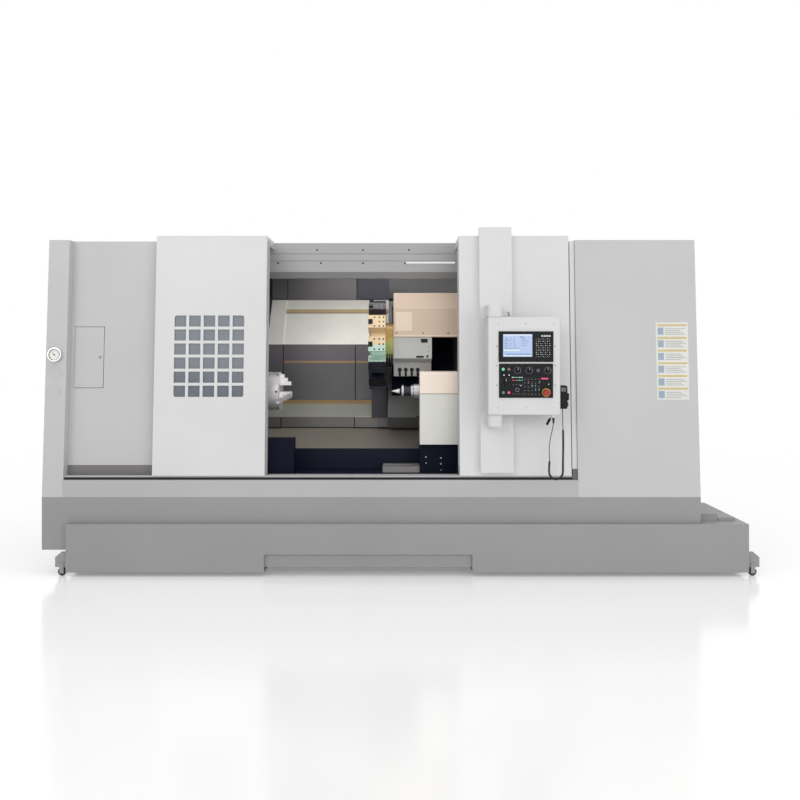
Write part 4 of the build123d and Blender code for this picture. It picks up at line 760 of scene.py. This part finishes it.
finished("key_slot", bm, socket_black)
ring(bm, (0.946, FACE, 1.231), 0.0212, 0.0272, 0.003)
finished("stop_ring", bm, yellow_ring)

# %% [markdown]
# ## Membrane keys and lamps
# Flat keys under a film fill the middle of the plate, each with a short grey mark. Lit lamps
# stand in two rows, and a few more stand by themselves.

# %% Membrane keys and lamp rows
keys, marks = bmesh.new(), bmesh.new()
for column in range(5):
    for row in range(5):
        x, z = 0.8066 + 0.0232 * column, 1.3212 - 0.0246 * row
        if x > 0.91 and z < 1.27:
            continue  # the emergency stop is there
        block(keys, (x - 0.0085, FACE - 0.001, z - 0.008), (x + 0.0085, FACE, z + 0.008), 0.0004)
        block(marks, (x - 0.003, FACE - 0.0014, z - 0.0065), (x + 0.003, FACE - 0.0009, z - 0.0035))
for column in range(4):
    for row in range(2):
        x, z = 0.732 + 0.0195 * column, 1.282 - 0.06 * row
        block(keys, (x - 0.0075, FACE - 0.001, z - 0.0075), (x + 0.0075, FACE, z + 0.0075), 0.0004)
        block(marks, (x - 0.003, FACE - 0.0014, z - 0.001), (x + 0.003, FACE - 0.0009, z + 0.001))
finished("membrane_keys", keys, key_black)
finished("key_marks", marks, grey_print)


def lamp_row(name, material, places):
    """Small round lenses on the switch plate."""
    for x, z in places:
        peg(bm, (x, FACE, z), 0.0032, 0.0022, tip=0.00256, sides=12)
    finished(name, bm, material)


def in_row(z, columns):
    """Places of the lamps in a row, by their columns."""
    return [(0.7265 + 0.0092 * i, z) for i in columns]


TOP_ROW, LOW_ROW = 1.3292, 1.3104
single_white = [(0.7807, 1.2765), (0.8548, 1.2765), (0.9612, 1.285)]
single_green = [(0.8762, 1.2765), (0.8762, 1.252), (0.8994, 1.252), (0.9025, 1.3012)]
lamp_row("white_lamps", white_lens, in_row(TOP_ROW, (0, 1, 5, 6, 7)) + single_white)
green_rows = in_row(TOP_ROW, (2, 3, 4)) + in_row(LOW_ROW, (4, 5, 6, 7))
lamp_row("green_lamps", green_lens, green_rows + single_green)
lamp_row("pink_lamps", pink_lens, in_row(LOW_ROW, range(4)) + [(0.8317, 1.3005)])
block(bm, (0.9127, FACE - 0.0022, 1.3165), (0.958, FACE, 1.3262), 0.0008)
finished("alarm_bar", bm, pink_lens)

# %% [markdown]
# ## Screws of the box and the pendant
# The box's front plate is held by socket screws. Where a screw is smaller than a pixel it still
# shows as a faint dot, so each is a real head with a dark socket. Beside the gland, a connector
# hangs in its black cap.

# %% Box screws, pendant marks and the gland
HEAD_HEIGHT = 0.0018


def socket_screws(name, places, radius, body="panel", material=screw_zinc, way="front"):
    """Cap screws: a head on the face and a dark socket in it."""
    heads, sockets = bmesh.new(), bmesh.new()
    lift = WAYS[way] @ Vector((0, 0, HEAD_HEIGHT - 0.0001))
    for place in places:
        peg(heads, place, radius, HEAD_HEIGHT, way, tip=0.9 * radius, sides=16)
        peg(sockets, Vector(place) + lift, 0.5 * radius, 0.0003, way, sides=6)
    finished(name + "_heads", heads, material, body)
    finished(name + "_sockets", sockets, socket_black, body)


BOX_FACE = -1.105
corners = [(x, BOX_FACE, z) for z in (1.677, 1.134) for x in (0.636, 0.815, 0.996)]
sides = [(x, BOX_FACE, z) for z in (1.53, 1.406, 1.2785) for x in (0.6275, 1.0045)]
socket_screws("box_corner_screw", corners, 0.005)
socket_screws("box_side_screw", sides, 0.0034, material=socket_black)
on_column = [on_front(0.734, 1.742, 0.0599), on_front(0.73, 1.757, 0.0599)]
socket_screws("column_screw", on_column, 0.0055, "right_door", socket_black, "lean")

WHEEL = (1.091, PANEL_DEPTH, 1.2)
ring(bm, WHEEL, 0.0262, 0.033, 0.001, way="right")
marks_face = (WHEEL[0] + 0.0008, *WHEEL[1:])
ticks(bm, marks_face, 0.0345, 0.0375, 0.0012, range(60, 121, 12), way="right")
finished("wheel_dial", bm, key_steel)
peg(bm, (1.1042, PANEL_DEPTH, 1.2145), 0.0042, 0.006, way="right", tip=0.0036, sides=14)
finished("wheel_finger_grip", bm, black_abs, "pendant_wheel")
block(bm, (1.048, -1.0658, 1.236), (1.082, -1.0648, 1.262), 0.0003)
finished("pendant_label", bm, key_steel)

GLAND_X = 1.0057
ring(bm, (GLAND_X, PANEL_DEPTH, 1.0715), 0.0102, 0.015, 0.013, way="up")
ring(bm, (GLAND_X, PANEL_DEPTH, 1.062), 0.0101, 0.0128, 0.01, way="up")
finished("gland_nut", bm, white_print)
tilt = Matrix.Translation((0.979, PANEL_DEPTH, 1.048)) @ Matrix.Rotation(radians(28), 4, "Y")
for low, high, radius in ((-0.036, -0.004, 0.0085), (-0.006, 0.006, 0.01), (0.004, 0.016, 0.005)):
    peg(bm, (0, 0, low), radius, high - low, way="up", sides=18, turn=tilt)
block(bm, (0.984, -1.0268, 1.06), (0.9965, -1.0232, 1.064), 0.0008)
finished("capped_connector", bm, black_abs)

# %% [markdown]
# ## The gauge
# A gauge in the left column shows the hydraulic pressure. Its glass is so clear that only the
# enamelled face, the scale and the needle need making. They follow the column's lean.

# %% Gauge dial
GAUGE_X, GAUGE_Z = -2.336, 1.4767
dial = on_front(GAUGE_X, GAUGE_Z - 0.0017, 0.0211)
peg(bm, dial, 0.0392, 0.001, way="lean", sides=48)
finished("gauge_face", bm, dial_white, "base")
front_of_dial = dial + WAYS["lean"] @ Vector((0, 0, 0.0008))
ring(bm, front_of_dial, 0.0345, 0.0388, 0.0006, way="lean")
ticks(bm, front_of_dial, 0.0255, 0.0325, 0.0018, range(-135, 136, 27), way="lean")
ticks(bm, front_of_dial, -0.008, 0.025, 0.0022, (38,), way="lean", height=0.0012)
peg(bm, front_of_dial, 0.005, 0.0018, way="lean", sides=16)
finished("gauge_scale", bm, ink_print, "base")

# %% [markdown]
# ## Seals, stops and trims round the doors
# A dark seal runs along the front of the doors' track, painted as the shadow under the doors. The
# fixed walls stand on a kick strip painted dark as the shade at their foot, and the right end of
# the track is closed by a pale jamb with a dark stop at its foot, painted as shade too.

# %% Door trims
# A dark strip along the track, painted as the shadow under the doors
block(bm, (-2.258, -0.8655, 0.6362), (1.193, -0.8609, 0.6515), 0.0008)
finished("track_shadow_seal", bm, seal_and_shadow_rubber, "base")
# Dark strips at the foot of the fixed walls, painted as shade
for x in ((-2.258, -1.052), (0.399, 1.158)):
    block(bm, (x[0], -0.7862, 0.6375), (x[1], -0.7815, 0.724))
finished("kick_shade_strips", bm, kick_shade_grey, "base")
leaning_block(bm, (1.16, 1.1944), (0.637, 2.258), (-0.03, -0.016), 0.002)
finished("jamb_trim", bm, door_white, "base")
# A dark block at the jamb's foot, painted as shade
leaning_block(bm, (1.1585, 1.1946), (0.637, 0.708), (-0.016, -0.006), 0.002)
finished("door_stop", bm, stop_shade_grey, "base")

# %% [markdown]
# ## Header, lamp and plate
# The header carries a row of screws in each fold and a long diffuser over the turret. The plate on
# the right cabinet has bands in three inks in place of its headings, pictures and words.

# %% Header and plate
HEADER_FACE = -0.365
upper = [(x, HEADER_FACE, 2.234) for x in (-0.94, -0.6, -0.268, 0.065)]
lower = [(x, HEADER_FACE, 2.139) for x in (-0.948, -0.883, -0.572, -0.268, 0.036)]
socket_screws("header_screw", upper + lower, 0.0065, "base", socket_black)
block(bm, (0.043, HEADER_FACE - 0.008, 2.136), (0.398, HEADER_FACE + 0.001, 2.148), 0.002)
finished("work_lamp_diffuser", bm, lamp_white, "base")

plate_x, plate_z = (1.737, 1.955), (1.172, 1.696)
foil = grained("printed_foil", "dedfd8", 0.35, 0.006)
leaning_block(bm, plate_x, plate_z, (-0.0002, 0.0012), 0.0004)
finished("instruction_plate", bm, foil, "base")
PRINT = (0.0011, 0.0015)  # from just inside the foil to just in front of it
heads, lines, pictures = bmesh.new(), bmesh.new(), bmesh.new()
left, right = plate_x
for i in range(6):
    top = plate_z[1] - 0.014 - i * 0.086
    leaning_block(heads, (left + 0.01, right - 0.01), (top - 0.012, top), PRINT)
    leaning_block(pictures, (left + 0.012, left + 0.052), (top - 0.07, top - 0.022), PRINT)
    for j in range(4):
        z = top - 0.028 - 0.012 * j
        end = right - 0.016 - 0.018 * ((i + 2 * j) % 3)
        leaning_block(lines, (left + 0.062, end), (z - 0.004, z), PRINT)
for name, bars, tint, colour in (
    ("headings", heads, "yellow", "cdb878"),
    ("pictures", pictures, "blue", "98a8ba"),
    ("lines", lines, "grey", "9fa4a8"),
):
    ink = grained(tint + "_plate_print", colour, 0.4, 0.006)
    finished("plate_" + name, bars, ink, "base")

# %% [markdown]
# ## The tool turret
# Each tool block is clamped on its flat by socket screws, and its slot holds a shank under a dark
# wedge. One block's screws and wedge are placed, then turned round the disc for the other eleven.
# All of it rides on the turret, so it stays with its block when the disc indexes.

# %% Tool blocks' screws and wedges
TURRET = Vector((0, -0.2725, 1.5504))
STATIONS = 12
BLOCK_TOP = 0.317
TOOL_TOP = 0.326
screws, wedges = bmesh.new(), bmesh.new()
for i in range(STATIONS):
    round_disc = Matrix.Translation(TURRET) @ Matrix.Rotation(2 * pi * i / STATIONS, 4, "X")
    for x in (-0.18, -0.146, -0.117):
        for across in (-0.036, 0.0, 0.036):
            if x == -0.18 and across == 0.0:
                continue  # the slot is there
            foot = (x, across, BLOCK_TOP - 0.0002)
            peg(screws, foot, 0.0062, 0.0016, "up", tip=0.0058, sides=12, turn=round_disc)
    block(wedges, (-0.2238, -0.0174, 0.276), (-0.1925, 0.0174, TOOL_TOP), 0.0015, round_disc)
    low, high = (-0.2215, -0.052, BLOCK_TOP - 0.0005), (-0.1035, -0.05, BLOCK_TOP + 0.0008)
    block(wedges, low, high, turn=round_disc)
finished("block_screws", screws, socket_black, "turret")
finished("block_wedges", wedges, socket_black, "turret")

# %% [markdown]
# ## The turret's neck and head
# Three oiled rings close the neck behind the disc. Dark patches, painted as the shade inside them,
# make the keyhole pockets and the shallow fields of the head's face read as holes, and the motor's
# cover has a plate and a lip.

# %% Neck rings, pockets and the motor's cover
for low in (-0.0985, -0.0815, -0.0645):
    ring(bm, (low, TURRET.y, TURRET.z), 0.1495, 0.156, 0.013, way="right", sides=72)
finished("neck_rings", bm, neck_enamel, "cross_slide")

HEAD_FACE, FOOT_FACE = -0.435, -0.293
# Dark patches just in front of the face, painted as the shade in its pockets and fields
block(bm, (0.15, HEAD_FACE - 0.0008, 1.562), (0.198, HEAD_FACE + 0.001, 1.59), 0.0003)
block(bm, (0.116, HEAD_FACE - 0.0008, 1.454), (0.17, HEAD_FACE + 0.001, 1.468), 0.0003)
peg(bm, (0.196, HEAD_FACE + 0.001, 1.464), 0.0085, 0.0018)
for z in (1.5, 1.53):
    peg(bm, (0.206, HEAD_FACE + 0.001, z), 0.003, 0.0018, sides=10)
for i in range(4):
    x = -0.002 + 0.044 * i
    peg(bm, (x, FOOT_FACE + 0.001, 1.366), 0.015, 0.002, sides=24)
    low, high = (x - 0.0085, FOOT_FACE - 0.0009, 1.32), (x + 0.0085, FOOT_FACE + 0.001, 1.364)
    block(bm, low, high, 0.0003)
finished("turret_head_pockets", bm, socket_black, "cross_slide")

COVER_FACE = -0.45
block(bm, (-0.032, COVER_FACE - 0.003, 1.646), (0.086, COVER_FACE + 0.001, 1.78), 0.0014)
block(bm, (-0.045, COVER_FACE - 0.0022, 1.606), (0.419, COVER_FACE + 0.001, 1.617), 0.0008)
finished("cover_plate_and_lip", bm, pale_enamel, "cross_slide")
on_cover = [(x, COVER_FACE, 1.63) for x in (-0.025, 0.166, 0.344)]
socket_screws("cover_screw", on_cover, 0.005, "cross_slide", socket_black)

# %% [markdown]
# ## Saddle sheets
# Folded sheets keep chips off the saddle and travel with it. The guard under the disc stands on
# the lower one. Its back follows the covers' fold, so that they pass behind it.

# %% Saddle sheets
saddle_sheet = ground_steel("folded_saddle_sheet", "5b5a5a", metallic=0.3)
dark_sheet = powder_coat("oiled_dark_sheet", "2a2630", roughness=0.5)
block(bm, (-0.167, -0.016, 0.927), (0.144, 0.0018, 1.001), 0.0015)
finished("saddle_sheet", bm, saddle_sheet, "carriage")
block(bm, (-0.169, -0.0175, 0.9225), (0.146, 0.0018, 0.9285), 0.0008)
peg(bm, (0.121, -0.0155, 0.969), 0.011, 0.0012, sides=24)
finished("saddle_sheet_edge", bm, socket_black, "carriage")
GUARD_X = (-0.215, -0.098)
# Its outline from the side, as places in Y and Z
GUARD_TOP = [(-0.03, 1.225), (0.16, 1.225), (0.16, 1.1265)]
GUARD_FOOT = [(-0.0055, 1.0005), (-0.03, 1.0005)]
outline = [bm.verts.new((GUARD_X[0], y, z)) for y, z in GUARD_TOP + GUARD_FOOT]
drawn_out = bmesh.ops.extrude_face_region(bm, geom=[bm.faces.new(outline)])["geom"]
far_end = [part for part in drawn_out if isinstance(part, bmesh.types.BMVert)]
bmesh.ops.translate(bm, verts=far_end, vec=(GUARD_X[1] - GUARD_X[0], 0, 0))
finished("disc_guard", bm, dark_sheet, "carriage")

# %% [markdown]
# ## Wipers
# Where one way cover slides under the next, a rubber wiper keeps coolant out. Its dark rubber also
# stands for the shadow that the cover's edge casts on the layer behind, as painted shadow. It
# follows the cover's folds as a chain of flat strips.

# %% Wipers at the edges of the way covers
# The lines at which the covers are folded, from the top down, as places in Y and Z
UPPER_FOLDS = [(0.465, 2.089), (0.465, 1.919), (0.175, 1.552)]
FOLDS = UPPER_FOLDS + [(0.175, 1.123), (0.015, 1.001), (0.015, 0.925)]


def wiper(name, x, body):
    """A rubber strip down the edge of a cover, from the layer behind it to its own face."""
    for (y, z), (next_y, next_z) in zip(FOLDS, FOLDS[1:]):
        run = Vector((0, next_y - y, next_z - z))
        turn = Matrix.Translation((0, y, z)) @ run.to_track_quat("-Z", "Y").to_matrix().to_4x4()
        block(bm, (x[0], -0.014, -run.length), (x[1], -0.0055, 0), turn=turn)
    finished(name, bm, seal_and_shadow_rubber, body)


# Each wiper is dark rubber, and also painted shadow along its cover's edge
wiper("fixed_cover_wiper", (-0.9108, -0.904), "base")
wiper("carriage_cover_wiper", (-0.35, -0.3432), "carriage")

# %% [markdown]
# ## The tailstock
# Its upper casting is split from the lower one by a thin shadow, its guard is held by five bright
# screws, and two bright rings close the live centre.

# %% Tailstock lines, screws and the centre's rings
for y in (-0.6556, -0.3454):
    block(bm, (0.1374, y, 1.2035), (0.7006, y + 0.001, 1.2062))
for x in (0.1372, 0.6996):
    for low, high in ((-0.6556, -0.52), (-0.41, -0.3444)):
        block(bm, (x, low, 1.2035), (x + 0.0012, high, 1.2062))
finished("tailstock_split_line", bm, ink_print, "tailstock")
TAIL_GUARD = -0.591
in_guard = ((0.182, 0.76), (0.287, 0.753), (0.182, 0.718), (0.287, 0.711), (0.287, 0.667))
socket_screws("guard_screw", [(x, TAIL_GUARD, z) for x, z in in_guard], 0.0052, "tailstock")
for x in (0.012, 0.078):
    ring(bm, (x, *SPINDLE[1:]), 0.0396, 0.0432, 0.014, way="right", sides=48)
finished("centre_rings", bm, screw_zinc, "live_centre")

# %% [markdown]
# ## The chuck and the back
# Two sizes of dark sockets stand round the chuck's rim, every 60 degrees. At the back, countersunk
# screws hold each panel along its two sides.

# %% Chuck's rim and the screws of the rear panels
CHUCK_RADIUS = 0.135
for i in range(6):
    round_axis = Matrix.Translation(SPINDLE) @ Matrix.Rotation(radians(30 + 60 * i), 4, "X")
    for x, radius in ((-0.866, 0.0075), (-0.922, 0.005)):
        foot = (x, 0, CHUCK_RADIUS - 0.0023)
        peg(bm, foot, radius, 0.003, "up", sides=16, turn=round_axis)
finished("chuck_rim_screws", bm, socket_black, "spindle")

REAR_FACE, PANELS, PANEL_WIDTH = 1.15, 5, 0.883
insets = (0.035, PANEL_WIDTH - 0.035)
edges = [-2.4 + PANEL_WIDTH * i + inset for i in range(PANELS) for inset in insets]
rear = [(x, REAR_FACE - 0.0027, z) for x in edges for z in (0.62, 1.14, 1.66, 2.18)]
for place in rear:
    peg(bm, place, 0.0055, 0.003, way="back", tip=0.0075, sides=14)
finished("rear_panel_screws", bm, socket_black, "base")
print("small parts made")

# %% [markdown]
# ## The studio
# A pale floor, a white surround and large soft lamps. The floor is slightly glossy, as sealed
# concrete is, so the tank leaves a faint mirror image that fades downwards. The surround is plain
# white only to the lens and in reflections, and it lights the machine at a lower level.

# %% Floor, surround and lamps
floor_mesh = bpy.data.meshes.new("studio_floor")
bmesh.ops.create_grid(bm, x_segments=1, y_segments=1, size=30)
bm.to_mesh(floor_mesh)
bm.free()
floor = placed("studio_floor", floor_mesh)
floor_paint, tree, place = start("sealed_white_floor")
speckle = add(tree, "TexNoise", {"Vector": place, "Scale": 3, "Detail": 4})
gloss = add(tree, "MapRange", {"Value": speckle, "To Min": 0.12, "To Max": 0.2})
sealed = {"Base Color": (0.93, 0.93, 0.93, 1), "Roughness": gloss, "Specular IOR Level": 0.7}
matte = add(tree, "BsdfPrincipled", sealed)
FLOOR_LIFT = 0.22  # light that only the lens sees, as the picture's floor is nearly white
lens_only = add(tree, "Emission", {"Strength": FLOOR_LIFT})
lifted = add(tree, "AddShader", {0: matte, 1: lens_only})
camera_ray = add(tree, "LightPath").outputs["Is Camera Ray"]
seen_floor = add(tree, "MixShader", {0: camera_ray, 1: matte, 2: lifted})
add(tree, "OutputMaterial", {"Surface": seen_floor})
floor_mesh.materials.append(floor_paint)

world = bpy.data.worlds.new("white_surround")
scene.world = world
world.use_nodes = True
tree = world.node_tree
tree.nodes.clear()
rays = add(tree, "LightPath")
seen = rays.outputs["Is Camera Ray"]
for kind in ("Is Glossy Ray", "Is Transmission Ray"):
    seen = add(tree, "Math", {0: seen, 1: rays.outputs[kind]}, operation="MAXIMUM")
SURROUND_LIGHT = 0.5  # what the surround sheds on the machine, where the lens sees 1
lit = add(tree, "Background", {"Color": (1, 1, 1, 1), "Strength": SURROUND_LIGHT})
white = add(tree, "Background", {"Color": (1, 1, 1, 1), "Strength": 1.0})
both = add(tree, "MixShader", {0: seen, 1: lit, 2: white})
add(tree, "OutputWorld", {"Surface": both})


def softbox(name, place, target, size, power):
    """A large square lamp that looks at a place."""
    lamp = placed(name, bpy.data.lights.new(name, "AREA"))
    lamp.data.shape = "RECTANGLE"
    lamp.data.size, lamp.data.size_y = size
    lamp.data.energy = power
    lamp.location = place
    lamp.rotation_euler = (Vector(target) - Vector(place)).to_track_quat("-Z", "Y").to_euler()


softbox("key_softbox", (-5.0, -12.0, 6.0), (0, -0.6, 1.2), (8, 6), 312)
softbox("fill_softbox", (5.5, -12.0, 3.0), (0.2, -0.6, 1.2), (8, 6), 310)
softbox("top_softbox", (0, -1.6, 7.0), (0, -1.2, 0.5), (8, 4), 115)
softbox("work_lamp", (-0.25, -0.26, 2.12), (-0.3, 0.25, 1.5), (1.2, 0.1), 5.0)
